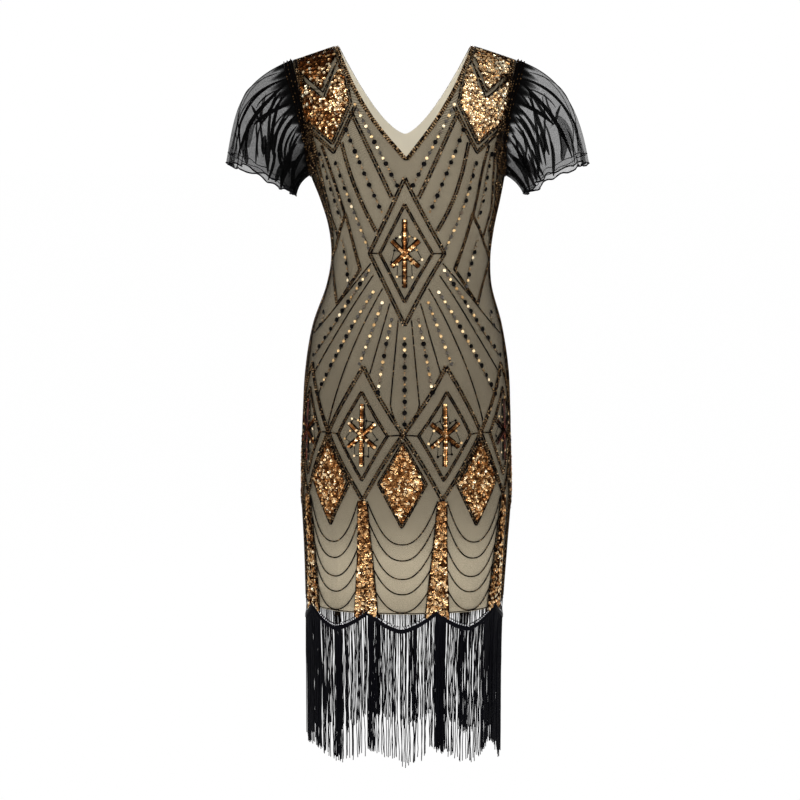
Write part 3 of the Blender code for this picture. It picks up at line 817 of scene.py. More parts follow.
def panel_grid(side_name, hem, out):
    """A panel's rows of points and normals, from its hem to its top. Below the underarm, rows go from side
    seam to side seam. Above it each column runs to its place on the neckline or the shoulder seam, and the
    outermost is the armhole."""
    side = SIDES[side_name]
    drops = np.linspace(LOWEST_ROW_DROP, UNDERARM_DROP, ROWS_BELOW_UNDERARM)[:, None]
    steps = np.array([0.0, 0.25, 0.5, 0.75])[:, None]
    z = np.concatenate([part_way(hem, -LOWEST_ROW_DROP, steps) + 0 * PANEL_SHARES, 0 * PANEL_SHARES - drops])
    x = x_at(side, PANEL_SHARES, z)
    up_neck = NECK_HALF_WIDTH * np.sin(np.linspace(0, math.pi / 2, NECK_COLUMNS + 1))
    along = np.linspace(NECK_HALF_WIDTH, SHOULDER_HALF_WIDTH, SHOULDER_COLUMNS + 1)[1:]
    half = np.concatenate([up_neck, along])
    x_top = np.concatenate([-half[:0:-1], half])
    t = np.linspace(0, 1, ROWS_ABOVE_UNDERARM + 1)[1:, None]
    x_up = part_way(x[-1], x_top, t)
    z_up = part_way(-UNDERARM_DROP, neckline(side_name, x_top), t)
    to_armhole = armhole_half_width(z_up[:, -1:]) - x_up[:, -1:]
    x_up = x_up + to_armhole * PANEL_SHARES**ARMHOLE_REACH_POWER * (1 - t**8)
    x, z = np.concatenate([x, x_up]), np.concatenate([z, z_up])
    return from_local(side, x, z, out + (net_float(PANEL_SHARES, z) if out > LINING_OUT else 0.0))


def along_grid(points):
    """Distances in metres along a grid's rows from their middle, and up its columns: the flat cloth's own
    two directions, for its weave."""
    across = run_along(points, axis=1)
    return np.stack([across - across[:, -1:] / 2, run_along(points)], axis=-1)


# Making objects.


def new_object(name, points, faces, material, smooth=True, uv=None, **values):
    """A mesh object at the origin, from arrays of points and faces, with a UV map and named values for each
    point where they are given."""
    mesh = bpy.data.meshes.new(name)
    points = np.asarray(points, np.float32).reshape(-1, 3)
    mesh.vertices.add(len(points))
    mesh.vertices.foreach_set("co", points.ravel())
    mesh.loops.add(faces.size)
    mesh.loops.foreach_set("vertex_index", faces.astype(np.int32).ravel())
    mesh.polygons.add(len(faces))
    mesh.polygons.foreach_set("loop_start", np.arange(0, faces.size, faces.shape[1], dtype=np.int32))
    mesh.update(calc_edges=True)
    mesh.validate()
    if uv is not None:
        uv = np.asarray(uv, np.float32).reshape(-1, 2)
        mesh.uv_layers.new(name="cloth").data.foreach_set("uv", uv[faces.ravel()].ravel())
    for key, value in values.items():
        attribute = mesh.attributes.new(key, "FLOAT", "POINT")
        attribute.data.foreach_set("value", np.asarray(value, np.float32).ravel())
    mesh.materials.append(material)
    if smooth:
        mesh.shade_smooth()
    made = bpy.data.objects.new(name, mesh)
    bpy.context.scene.collection.objects.link(made)
    return made


SEWN_ON = {}


def sew(name, slot, shape, material, *nodes, **look):
    """Makes a piece from its points and faces, rides it on the dress's body, names its finish, lets it stand
    for the solids it replaces, and notes the cloth of its own panel or sleeve that it is sewn on."""
    piece = new_object(name, *shape, finish(material), **look)
    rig.ride(piece, "root")
    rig.slot(piece, slot)
    if nodes:
        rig.replaces(piece, *nodes)
    cloth = f"{name.split('_')[0]}_{CLOTH_UNDER[slot]}_cloth"
    if name != cloth:
        SEWN_ON.setdefault(cloth, []).append(piece)
    return piece


def sew_cords(name, slot, shapes, flat=(0, 2)):
    """Sews on a piece of thin black cords or threads, from pairs of points and faces."""
    points, faces = joined(shapes)
    sew(name, slot, (points, faces), "cord", uv=points[:, flat])


def grid_faces(rows, columns, closed=False, flip=False):
    """Quads of a grid of points, joined up round its columns if it is closed."""
    i, j = np.meshgrid(np.arange(rows - 1), np.arange(columns if closed else columns - 1), indexing="ij")
    k = (j + 1) % columns
    corners = i * columns + j, i * columns + k, (i + 1) * columns + k, (i + 1) * columns + j
    quads = np.stack(corners, axis=-1).reshape(-1, 4)
    return quads[:, ::-1] if flip else quads


def joined(shapes):
    """Pairs of points and faces as one pair."""
    starts = np.cumsum([0] + [len(points) for points, _ in shapes])
    return together([(points, faces + start) for (points, faces), start in zip(shapes, starts)])


def repeated(template, faces, at, along, across, out, size):
    """Copies of a small shape as one mesh: each has its place, its three directions and its size. The
    template's three numbers are measured along those directions."""
    axes = np.stack([along, across, out], axis=1)
    points = at[:, None, :] + np.einsum("tk,nkc->ntc", template, axes) * size[:, None, None]
    all_faces = faces[None] + (np.arange(len(at)) * len(template))[:, None, None]
    return points.reshape(-1, 3), all_faces.reshape(-1, faces.shape[1])


def ring_turns(sides):
    """Cosines and sines of even turns round a ring."""
    turn = np.arange(sides) / sides * 2 * math.pi
    return np.cos(turn), np.sin(turn)


def bead_template(sides):
    """A bead, lying along its thread: a short barrel of two rings with flat ends."""
    cos, sin = ring_turns(sides)
    ring = np.stack([0 * cos, 0.5 * cos, 0.5 * sin], axis=-1)
    k = np.arange(sides)
    after = (k + 1) % sides
    fan = np.arange(1, sides - 1)
    faces = [(k, after, after + sides), (k, after + sides, k + sides), (0 * fan, fan + 1, fan),
             (0 * fan + sides, fan + sides, fan + 1 + sides)]
    faces = np.concatenate([np.stack(part, axis=-1) for part in faces])
    end = np.array([BEAD_HALF_LENGTH, 0, 0])
    return np.concatenate([ring - end, ring + end]), faces[:, ::-1]


def disc_template():
    """A sequin: a disc with a sunk middle, as a fan of triangles."""
    cos, sin = ring_turns(SEQUIN_EDGES)
    k = np.arange(SEQUIN_EDGES)
    rim = np.stack([0.5 * cos, 0.5 * sin, 0 * cos + SEQUIN_CUP], axis=-1)
    return np.concatenate([[[0, 0, 0]], rim]), np.stack([0 * k, k + 1, (k + 1) % SEQUIN_EDGES + 1], axis=-1)


def cords(paths, radius, closed=False, side_on=(0.02, 0.05, 1.0)):
    """Points and quads of thin four-sided cords along paths, given ring by ring. Their sides turn from a
    direction square to side_on."""
    rings = len(paths)
    along = np.roll(paths, -1, axis=0) - np.roll(paths, 1, axis=0) if closed else np.gradient(paths, axis=0)
    along = unit(along)
    first = unit(np.cross(along, side_on))
    cos, sin = (v[:, None] for v in ring_turns(4))
    ring = first[..., None, :] * cos + np.cross(along, first)[..., None, :] * sin
    return paths[..., None, :] + ring * radius, grid_faces(rings + closed, 4, closed=True) % (rings * 4)


def tube(path, radius, closed=False):
    """Points and quads of one thin tube along a path."""
    points, quads = cords(path, radius, closed)
    return points.reshape(-1, 3), quads


def strands(paths, radius):
    """Capped cords along many paths at once, as points, quads and a UV map of turns and length."""
    rings, count = paths.shape[:2]
    points, quads = cords(paths, radius, side_on=(0.0, 1.0, 0.0))
    points = points.transpose(1, 0, 2, 3)
    quads = np.concatenate([quads, [[3, 2, 1, 0], np.arange(rings * 4 - 4, rings * 4)]])
    faces = quads[None] + (np.arange(count) * rings * 4)[:, None, None]
    around = np.broadcast_to(np.arange(4) / 4 * 2 * math.pi * radius, (count, rings, 4))
    return points, faces.reshape(-1, 4), np.stack([around, points[..., 2]], axis=-1)


def spaced_along(points, out, spacing):
    """Places at even distances along a line of points, with the line's direction, the direction across it
    and the normal at each."""
    length = run_along(points)
    count = max(int(round(length[-1] / spacing)), 1)
    at = (np.arange(count) + 0.5) / count * length[-1]

    def mixed(values):
        return np.stack([np.interp(at, length, column) for column in values.T], axis=-1)

    along, n = unit(mixed(np.gradient(points, axis=0))), mixed(out)
    n = unit(n - along * (n * along).sum(axis=-1, keepdims=True))
    return mixed(points), along, np.cross(n, along), n


# Lines of the pattern, as shares and heights.


def front_line(x, drop, samples=90):
    """A line given by corners in front view, in centimetres."""
    at = np.linspace(0, len(x) - 1, samples)
    x, z = (np.interp(at, np.arange(len(x)), np.asarray(v, float) * k) for v, k in ((x, CM), (drop, -CM)))
    return pattern_share(x, z), z


def bowed_line(row, samples=90):
    """A line straight from end to end, with its middle moved sideways by its bow."""
    line = Line(*row)
    t = np.linspace(0, 1, samples)
    z = -part_way(line.drop_from, line.drop_to, t) * CM
    return pattern_share(part_way(line.x_from, line.x_to, t, line.bow) * CM, z), z


def unit_share(units, z):
    """Share of a panel at a number of pattern units from the centre: even, but for the spread at the middle
    and the lean at the hem, which both die away towards the side seams."""
    inward = 1 - np.abs(units) / 2
    return units / 2 * (1 + by_drop(SPREAD, z) * inward**2) + by_drop(LEAN, z) * np.clip(inward * 3, 0, 1)


def beside_unit(units, across, z):
    """Share at a distance across from the middle line of a unit, in metres."""
    return unit_share(units, z) + across / PANEL_HALF_LENGTH


def lozenge(shape, share_across, samples=160):
    """The outline of a lozenge: four straight sides, each point's share worked out from how far across and
    how high it lies."""
    top, middle, bottom, half = shape
    at = np.linspace(0, 4, samples)
    across = np.interp(at, range(5), [0, half, 0, -half, 0])
    z = -np.interp(at, range(5), [top, middle, bottom, middle, top]) * CM
    return share_across(across, z), z


def centre_lozenge(shape):
    """The outline of a lozenge about the centre line."""
    return lozenge(shape, lambda across, z: pattern_share(across * CM, z))


def star_lozenges(shape):
    """The outlines of a panel's lozenges round the stars."""
    return [lozenge(shape, lambda across, z: unit_share(units + across, z)) for units in STAR_UNITS]


def column_half_width(z):
    """Half the width of a sequin column at height z."""
    return by_drop(COLUMN_HALF_WIDTHS, z) * CM


def mirrored(lines):
    """Lines and their mirror images across the centre."""
    return [(sign * share, z) for share, z in lines for sign in (1, -1)]


def on_panel(lines):
    """Lines without the parts that run past a side seam."""
    kept = [(share[np.abs(share) <= 0.999], z[np.abs(share) <= 0.999]) for share, z in lines]
    return [line for line in kept if len(line[0]) > 1]


def closed_line(corners, samples):
    """A line through corners in front view and back to its first one."""
    return front_line(*zip(*corners, corners[0]), samples=samples)


def bold_lines():
    """The widest double rows of beads on a panel."""
    lines = mirrored([bowed_line(row) for row in BOLD_RAYS])
    lines += [centre_lozenge(CENTRE_LOZENGES[0])] + star_lozenges(STAR_LOZENGES[0])
    lines += mirrored([closed_line(SHOULDER_PATCH, 200)])
    return on_panel(lines + mirrored([front_line(*zip(*SHOULDER_OUTLINE), samples=120)]))


def light_lines():
    """The narrower double rows of beads on a panel."""
    lines = mirrored([bowed_line(row) for row in LIGHT_RAYS]) + mirrored([closed_line(SIDE_LOZENGE, 160)])
    lines += [centre_lozenge(CENTRE_LOZENGES[1])] + star_lozenges(STAR_LOZENGES[1])
    for units in SEQUIN_UNITS:
        lines.append(lozenge(SEQUIN_LOZENGE, lambda across, z: beside_unit(units, across * CM, z)))
    return on_panel(lines)


def thin_lines():
    """The single rows of beads on a panel: lower rays, the chevrons' edges, the columns' sides, and the
    short links between the corners of one lozenge inside another."""
    lines = mirrored([bowed_line(row) for row in THIN_RAYS])
    x, drop = np.array(CHEVRON).T
    for aside in (-CHEVRON_HALF_WIDTH / CM, CHEVRON_HALF_WIDTH / CM):
        lines += mirrored([front_line(x + np.array([0.0, 0.0, -0.6 * aside]), drop - aside * 1.3)])
    outer, inner = STAR_LOZENGES
    for units in STAR_UNITS:
        z = np.linspace(-COLUMN_TOP_DROP * CM, -COLUMN_FOOT, 90)
        for hand in (-1, 1):
            share = beside_unit(units, hand * column_half_width(z), z)
            kept = z > scallop_hem(share) + 2 * MM
            lines.append((share[kept], z[kept]))
        for hand in (-1, 1):
            z = np.linspace(-outer[1], -inner[1], 12) * CM
            lines.append((unit_share(units + hand * np.linspace(outer[3], inner[3], 12), z), z))
    outer, inner = CENTRE_LOZENGES
    return on_panel(lines + mirrored([front_line((outer[3], inner[3]), (outer[1], inner[1]), samples=12)]))


def swag_lines():
    """Single rows of beads hung between the columns: each sags along a rounded curve between two columns."""
    lines = []
    t = np.linspace(-1, 1, 90)
    for units in SEQUIN_UNITS:
        for end_drop, low_drop, power in SWAGS:
            z = -part_way(low_drop, end_drop, np.abs(t) ** power) * CM
            left, right = (
                beside_unit(units + 0.5 * hand, -hand * column_half_width(z[-1]), z[-1]) for hand in (-1, 1)
            )
            lines.append((part_way(left, right, (t + 1) / 2), z))
    return on_panel(lines)


def side_band(z):
    """The share of a panel at which its side band starts, at height z, a little uneven."""
    return by_drop(SIDE_BAND, z) + 0.012 * np.sin(z * 95) + 0.007 * np.sin(z * 230 + 1)


def edge_lines():
    """Rows of beads close along the armhole and the side seam below it, down both edges of a panel: at each
    height, a distance in from the armhole's edge or from the seam. More rows follow the side band."""
    lines = []
    z = np.linspace(-EDGE_TOP_DROP, -EDGE_LOW_DROP, 400)
    for inward in np.array(EDGE_ROWS) * MM:
        over = share_at(-1, armhole_half_width(np.maximum(z, -UNDERARM_DROP)) - inward, z)
        seam = 1 - inward / PANEL_HALF_LENGTH
        lines.append((np.where(z > -UNDERARM_DROP, np.minimum(over, seam), seam), z))
    z = np.linspace(-UNDERARM_DROP - 1 * CM, -EDGE_LOW_DROP, 400)
    outer = section("half_width", z)
    width = outer - x_at(-1, side_band(z), z)
    for number, part in enumerate(SIDE_BAND_ROWS):
        wander = 1.2 * MM * np.sin(z * 60 + 2.1 * number) * part
        lines.append((share_at(-1, outer - part * width + wander, z), z))
    return mirrored(lines)


def star_places():
    """A panel's stars: for each, a function from shares of its lozenge's half width and half height to
    shares and heights of the panel."""

    def within(shape, share_across):
        top, middle, bottom, _ = shape

        def there(across, up):
            z = (-middle + up * (bottom - top) / 2) * CM
            return share_across(across, z), z

        return there

    def on_unit(units):
        _, middle, _, half = STAR_LOZENGES[1]
        corners = unit_share(units - half, -middle * CM) + unit_share(units + half, -middle * CM)
        half_width = STAR_HALF_WIDTH * CM / PANEL_HALF_LENGTH
        return within(STAR_LOZENGES[1], lambda across, z: corners / 2 + across * half_width)

    shape = CENTRE_LOZENGES[1]
    centred = within(shape, lambda across, z: pattern_share(across * shape[3] * CM, z))
    return [centred] + [on_unit(units) for units in STAR_UNITS]


def star_arms(there):
    """The three straight lines of a star through its middle: the upright and two slanting ones."""
    across, up = STAR_ARM
    t = np.linspace(-1, 1, 60)
    return [there(0 * t, STAR_UPRIGHT * t), there(across * t, up * t), there(across * t, -up * t)]


def star_dots(there, rng):
    """Places of the loose sequins round a star: evenly turned round it, near and far by turns, on curves of
    its lozenge's own form."""
    turn = (np.arange(STAR_DOTS) + 0.5) / STAR_DOTS * 2 * math.pi + rng.uniform(-0.12, 0.12, STAR_DOTS)
    near, far = STAR_DOT_REACHES
    reach = np.where(np.arange(STAR_DOTS) % 2, far, near) * rng.uniform(0.9, 1.1, STAR_DOTS)
    reach = reach / (np.abs(np.cos(turn)) + np.abs(np.sin(turn)))
    return there(reach * np.cos(turn), reach * np.sin(turn))


def star_stems(share, z, there):
    """Thin threads round a star: one winds from each loose sequin to the next, and another runs in from
    every second one towards the middle, bent aside."""
    at = np.linspace(0, len(share), 140)
    winding = tuple(np.interp(at, range(len(share) + 1), np.append(v, v[0])) for v in (share, z))
    middle_share, middle_z = there(0.0, 0.0)
    t = np.linspace(0, 0.8, 14)
    return [winding] + [
        (part_way(a, middle_share, t) + 0.004 * np.sin(3 * t), part_way(b, middle_z, t))
        for a, b in zip(share[::2], z[::2])
    ]


# Beads, threads and sequins.


def bead_rows(side, lines, offsets, spacing):
    """Places and directions of beads along lines, in rows at the given distances to the side of each."""
    rows = []
    for share, z in lines:
        at, along, across, n = spaced_along(*place(side, share, z, BEAD_OUT), spacing)
        for number, offset in enumerate(offsets):
            stagger = along * spacing / 2 * (number % 2)
            rows.append((at + across * offset + stagger, along, across, n))
    return together(rows)


def thread_strips(side, lines, offsets, half_width):
    """Flat strips of the dark thread that holds the beads on, one along each row, as points and quads."""
    strips = []
    for share, z in lines:
        path, n = place(side, share, z, THREAD_OUT)
        across = unit(np.cross(n, np.gradient(path, axis=0)))
        for offset in offsets:
            edges = [path + across * (offset + aside) for aside in (-half_width, half_width)]
            strips.append((np.stack(edges, axis=1).reshape(-1, 3), grid_faces(len(path), 2)))
    return joined(strips)


def sew_beads(name, slot, parts, size, seed, bright, glint=0.04, lit_tones=(0.56, 0.86), sides=3,
              material="beads", nodes=()):
    """Sews on beads as one mesh, each with a tone of its own: dark and bronze by turns, with a share of the
    bronze ones lit, and a few glints."""
    at, along, across, n = parts
    points, faces = bead_template(sides)
    rng = np.random.default_rng(seed)
    lit = (np.arange(len(at)) % 2 == 1) & (rng.random(len(at)) < bright)
    tone = np.where(lit, rng.uniform(*lit_tones, len(at)), rng.uniform(*DARK_BEADS, len(at)))
    tone = np.where(rng.random(len(at)) < glint, 1.0, tone)
    shape = repeated(points, faces, at, along, across, n, size * rng.uniform(*BEAD_SIZES, len(at)))
    sew(name, slot, shape, material, *nodes, tone=np.repeat(tone, len(points)))


def sew_discs(name, at, first, second, face, size, tones, material):
    """Sews on sequins as one mesh, each with its two directions, its normal, its size and its tone."""
    points, faces = disc_template()
    shape = repeated(points, faces, at, first, second, face, size)
    sew(name, "net", shape, material, smooth=False, tone=np.repeat(tones, len(points)))


def sew_sequins(name, side, share, z, size, tilt, tones, material, seed, out):
    """Sews on sequins at shares and heights of a panel, each leaning at random and turned at random."""
    rng = np.random.default_rng(seed)
    at, n = place(side, share, z, out)
    along = unit(np.cross(n, (0.0, 0.0, 1.0)))
    lean = rng.normal(0, tilt, (len(n), 2))
    across = np.cross(n, along)
    face = unit(n + along * lean[:, :1] + across * lean[:, 1:])
    turn = rng.uniform(0, 2 * math.pi, (len(n), 1))
    first = along * np.cos(turn) + across * np.sin(turn)
    first = unit(first - face * (first * face).sum(axis=-1, keepdims=True))
    at = at + n * rng.uniform(0, SEQUIN_LIFT, (len(at), 1)) * MM
    size = size * rng.uniform(*SEQUIN_SIZES, len(at))
    sew_discs(name, at, first, np.cross(face, first), face, size, tones, material)


def inside(polygon, x, y):
    """Whether points lie in a polygon, by the even-odd rule."""
    hit = np.zeros(np.shape(x), bool)
    for (x0, y0), (x1, y1) in zip(polygon, np.roll(polygon, -1, axis=0)):
        crosses = (y0 > y) != (y1 > y)
        hit ^= crosses & (x < (x1 - x0) * (y - y0) / (y1 - y0 + 1e-12) + x0)
    return hit


def staggered(x_span, y_span, pitch, rng, jitter):
    """Points in staggered rows over a rectangle, each moved a little at random."""
    x, y = np.meshgrid(np.arange(*x_span, pitch), np.arange(*y_span, pitch * math.sqrt(3) / 2))
    x[1::2] += pitch / 2
    x += rng.uniform(-jitter, jitter, x.shape) * pitch
    y += rng.uniform(-jitter, jitter, y.shape) * pitch
    return x.ravel(), y.ravel()


def away_from_line(x, y, corners):
    """Distance of points from a line of straight stretches."""
    nearest = np.full(x.shape, np.inf)
    for (x0, y0), (x1, y1) in zip(corners[:-1], corners[1:]):
        run = (x1 - x0) ** 2 + (y1 - y0) ** 2
        t = np.clip(((x - x0) * (x1 - x0) + (y - y0) * (y1 - y0)) / run, 0, 1)
        nearest = np.minimum(nearest, np.hypot(x - x0 - t * (x1 - x0), y - y0 - t * (y1 - y0)))
    return nearest


def patch_tones(x, drop, hand, rng):
    """Tones of the shoulder sequins, with painted light and shade in them: painted shade makes them dark brown along
    the seam, painted highlights make them brightest next to the neck and below the chevron, and lower down they are an
    even gold with fewer highlights. The right shoulder's are lighter, as painted light from that side."""

    def near_line(at_x, at_drop, fall, reach):
        return bell((drop - at_drop - (x - at_x) * fall) / reach)

    # Painted shade along the shoulder seam, painted highlights at the neck and below the chevron, and fewer highlights
    # lower down.
    neck_x, neck_drop, sideways, down = NECK_LIGHT
    seam, below = near_line(*SHOULDER_SEAM_SHADE), near_line(*CHEVRON_LIGHT)
    neck = bell((x - neck_x) / sideways, (drop - neck_drop) / down)
    low = np.clip((drop - 0.08) / 0.03, 0, 1) * np.clip((x - 0.10) / 0.03, 0, 1)
    # Painted light on the right shoulder: more of its sequins bright, and its dull ones lighter.
    right_painted_light = RIGHT_SHOULDER_PAINTED_LIGHT if hand > 0 else 0.0
    lit = np.clip(0.32 + right_painted_light + 0.45 * neck + 0.22 * below - 0.16 * low - 0.3 * seam, 0.05, 1.0)
    bright = rng.random(len(x)) < lit
    dull = rng.uniform(*SHOULDER_DULL, len(x)) * (1 - 0.5 * seam) + 0.1 * low + right_painted_light * RIGHT_DULL_PAINTED_LIGHT
    return np.where(bright, rng.uniform(*SHOULDER_BRIGHT, len(x)), dull)


def sequin_places(pitch, rng, jitter):
    """Shares, heights and tones of all the sequins that cover a panel's shoulder pieces, lozenges and columns. Columns
    lighten towards the hem, and all of them are lightened towards the sides: painted light where they turn away from
    the lamps."""
    found = []

    def add(share, z, tone):
        kept = np.abs(share) < 0.996
        # Painted light: sequins are lightened towards the sides, where they turn away from the lamps.
        lighter = 1 + SIDE_PAINTED_LIGHT * np.clip((np.abs(share) - 0.66) / 0.1, 0, 1)
        found.append((share[kept], z[kept], np.minimum(tone * lighter, 1)[kept]))

    def mixed(count, lit, dull):
        bright = rng.random(count) < lit
        return np.where(bright, rng.uniform(*BRIGHT_TONES, count), rng.uniform(*dull, count))

    patch, chevron = np.array(SHOULDER_PATCH) * CM, np.array(CHEVRON) * CM
    for hand in (-1, 1):
        x, drop = staggered(*PATCH_SPAN, pitch, rng, jitter)
        kept = inside(patch, x, drop)
        kept &= away_from_line(x, drop, chevron) > CHEVRON_HALF_WIDTH + EDGE_MARGINS["chevron"]
        kept &= away_from_line(x, drop, np.concatenate([patch, patch[:1]])) > EDGE_MARGINS["patch"]
        x, drop = x[kept], drop[kept]
        add(hand * pattern_share(x, -drop), -drop, patch_tones(x, drop, hand, rng))
    top, middle, bottom, half = (v * CM for v in SEQUIN_LOZENGE)
    for units in SEQUIN_UNITS:
        across, drop = staggered((-half, half), (top, bottom), pitch, rng, jitter)
        reach = np.where(drop < middle, (drop - top) / (middle - top), (bottom - drop) / (bottom - middle))
        kept = np.abs(across) < half * reach - EDGE_MARGINS["lozenge"]
        across, drop = across[kept], drop[kept]
        add(beside_unit(units, across, -drop), -drop, mixed(len(drop), *LOZENGE_SEQUINS))
    for units in STAR_UNITS:
        across, drop = staggered(*COLUMN_SPAN, pitch * 0.86, rng, jitter)
        there = beside_unit(units, across, -drop)
        kept = np.abs(across) < column_half_width(-drop) - EDGE_MARGINS["column"]
        kept &= -drop > scallop_hem(there) + EDGE_MARGINS["hem"]
        low = COLUMN_LIGHTENING * np.clip((drop[kept] - COLUMN_TOP_DROP * CM) / 0.11, 0, 1)
        dark = rng.random(len(low)) < COLUMN_DARK_SHARE
        tone = mixed(len(low), *COLUMN_SEQUINS) * (0.78 + low) + low
        add(there[kept], -drop[kept], np.clip(np.where(dark, COLUMN_DARK_TONE, tone), 0, 1))
    return together(found)


def dotted_places(rng):
    """Shares, heights, tones and relative sizes of the sequins of a panel's dotted lines, spaced evenly by
    their heights, and the lines that they stand on."""
    found, lines = [], []
    for row, letters in DOTTED_LINES:
        line_share, line_z = bowed_line(row)
        z = np.linspace(line_z[0], line_z[-1], len(letters))
        share = np.interp(-z, -line_z, line_share)
        sizes = np.array([DOT_SIZES[letter] for letter in letters])
        for hand in (-1, 1) if row[0] else (1,):
            tones = np.array([rng.uniform(*DOT_TONES[letter]) for letter in letters])
            found.append((hand * share, z, tones, sizes))
            lines.append((hand * line_share, line_z))
    return together(found), lines


# Materials.


def shader_tree(name):
    """A new material, its node tree and its shader."""
    made = bpy.data.materials.new(name)
    made.use_nodes = True
    return made, made.node_tree, made.node_tree.nodes["Principled BSDF"]


def fill(tree, made, inputs):
    """Fills a node's inputs, named or numbered: each takes its value, or the output that is given for it."""
    for key, value in inputs.items():
        if isinstance(value, bpy.types.NodeSocket):
            tree.links.new(value, made.inputs[key])
        else:
            made.inputs[key].default_value = value


def node(tree, kind, inputs, output, **settings):
    """The output of a new node of a kind, with its settings and its inputs filled."""
    made = tree.nodes.new("ShaderNode" + kind)
    for key, value in settings.items():
        setattr(made, key, value)
    fill(tree, made, inputs)
    return made.outputs[output]


def ramp(tree, factor, stops):
    """A colour ramp over a factor, from pairs of place and colour."""
    colour = node(tree, "ValToRGB", {"Fac": factor}, "Color")
    elements = colour.node.color_ramp.elements
    while len(elements) < len(stops):
        elements.new(1.0)
    for element, (place_at, shade) in zip(elements, stops):
        element.position = place_at
        element.color = (*shade, 1.0)
    return colour


def maths(tree, operation, *values):
    """The result of a sum on values or outputs."""
    return node(tree, "Math", dict(enumerate(values)), 0, operation=operation)


def attribute(tree, name):
    """A mesh's own value of that name at each point."""
    return node(tree, "Attribute", {}, "Fac", attribute_name=name, attribute_type="GEOMETRY")


def bump(tree, height, strength, distance):
    """A normal raised by a height."""
    return node(tree, "Bump", {"Height": height, "Strength": strength, "Distance": distance}, "Normal")


def cloth_uv(tree, scale, turn=0.0):
    """The cloth's own two directions, in cells of a weave, turned by an angle."""
    where = node(tree, "UVMap", {}, "UV", uv_map="cloth")
    inputs = {"Vector": where, "Scale": (scale, scale, 1.0), "Rotation": (0.0, 0.0, turn)}
    return node(tree, "Mapping", inputs, "Vector")


def noise(tree, where, scale, detail):
    """Soft unevenness."""
    return node(tree, "TexNoise", {"Vector": where, "Scale": scale, "Detail": detail}, "Fac")


def waves(tree, inputs, direction):
    """Even bands across a direction."""
    return node(tree, "TexWave", inputs, "Fac", wave_type="BANDS", bands_direction=direction)


def shaded(colour, *steps):
    """Stops of a ramp from pairs of place and how many times lighter than a colour, up to full."""
    return [(place_at, tuple(min(c * times, 1.0) for c in colour)) for place_at, times in steps]


def net_material(name, colour, cell, thread, least, most):
    """Fine sheer net: dark threads with diamond cells between them, each cell's edge being thread. Where its
    threads lie closer, as its value of that name says, it covers as that many layers would."""
    made, tree, shader = shader_tree(name)
    cells = cloth_uv(tree, 1 / cell, math.radians(45))
    edge = node(
        tree, "TexVoronoi", {"Vector": cells, "Scale": 1.0, "Randomness": 0.25}, "Distance",
        feature="DISTANCE_TO_EDGE", voronoi_dimensions="2D",
    )
    reach = {"Value": edge, "From Min": thread * 0.5, "From Max": thread * 1.6, "To Min": 1.0, "To Max": 0.0}
    threads = node(tree, "MapRange", reach, "Result", interpolation_type="SMOOTHSTEP")
    cover = node(tree, "MapRange", {"Value": threads, "To Min": least, "To Max": most}, "Result")
    left_open = maths(tree, "POWER", maths(tree, "SUBTRACT", 1.0, cover), attribute(tree, "closeness"))
    uneven = noise(tree, cloth_uv(tree, 60.0), 1.0, 2.0)
    fill(tree, shader, {
        "Base Color": ramp(tree, uneven, shaded(colour, (0.3, 0.7), (0.7, 1.3))),
        "Alpha": maths(tree, "SUBTRACT", 1.0, left_open),
        "Normal": bump(tree, threads, 0.3, 0.0003),
        "Roughness": 0.9,
        "Specular IOR Level": 0.02,
    })
    return made


def lining_material(name, colour, stitch):
    """Fine knit: rows of small stitches, a soft sheen, and colour that varies a little."""
    made, tree, shader = shader_tree(name)
    uneven = noise(tree, cloth_uv(tree, 14.0), 1.0, 4.0)
    stitches = {"Vector": cloth_uv(tree, 1 / stitch), "Scale": 1.0, "Distortion": 1.5, "Detail Scale": 1.0}
    rows = {"Vector": cloth_uv(tree, 1 / stitch, math.radians(90)), "Scale": 1.0, "Distortion": 1.0}
    knit = maths(tree, "MULTIPLY", waves(tree, stitches, "X"), waves(tree, rows, "X"))
    fill(tree, shader, {
        "Base Color": ramp(tree, uneven, shaded(colour, (0.25, 0.93), (0.75, 1.05))),
        "Normal": bump(tree, knit, 0.35, 0.0003),
        "Roughness": 0.6,
        "Sheen Weight": 0.15,
        "Specular IOR Level": 0.25,
    })
    return made


def toned_material(name, stops, metallic, roughness, specular=0.5):
    """Glass or foil whose colour is picked for each bead or sequin by its tone, with fine scratches."""
    made, tree, shader = shader_tree(name)
    scratches = noise(tree, node(tree, "TexCoord", {}, "Object"), 900.0, 2.0)
    rough = {"Value": scratches, "To Min": roughness * 0.7, "To Max": roughness * 1.3}
    fill(tree, shader, {
        "Base Color": ramp(tree, attribute(tree, "tone"), stops),
        "Roughness": node(tree, "MapRange", rough, "Result"),
        "Metallic": metallic,
        "Specular Tint": (*SLANTING_TINT, 1.0),
        "Specular IOR Level": specular,
    })
    return made


def cord_material(name, colour):
    """Silky black cord with the slant of its twist, its colour lighter on the twist's ridges and darker between them:
    painted sheen and painted shade.
    """
    made, tree, shader = shader_tree(name)
    where = node(tree, "UVMap", {}, "UV", uv_map="cloth")
    twist = waves(tree, {"Vector": where, "Scale": 260.0}, "DIAGONAL")
    fill(tree, shader, {
        # The colour follows the twist's bump: painted sheen on its ridges and painted shade between them.
        "Base Color": ramp(tree, twist, shaded(colour, (0.2, 0.5), (0.9, 1.8))),
        "Normal": bump(tree, twist, 0.4, 0.0002),
        "Roughness": 0.5,
        "Specular IOR Level": 0.05,
    })
    return made


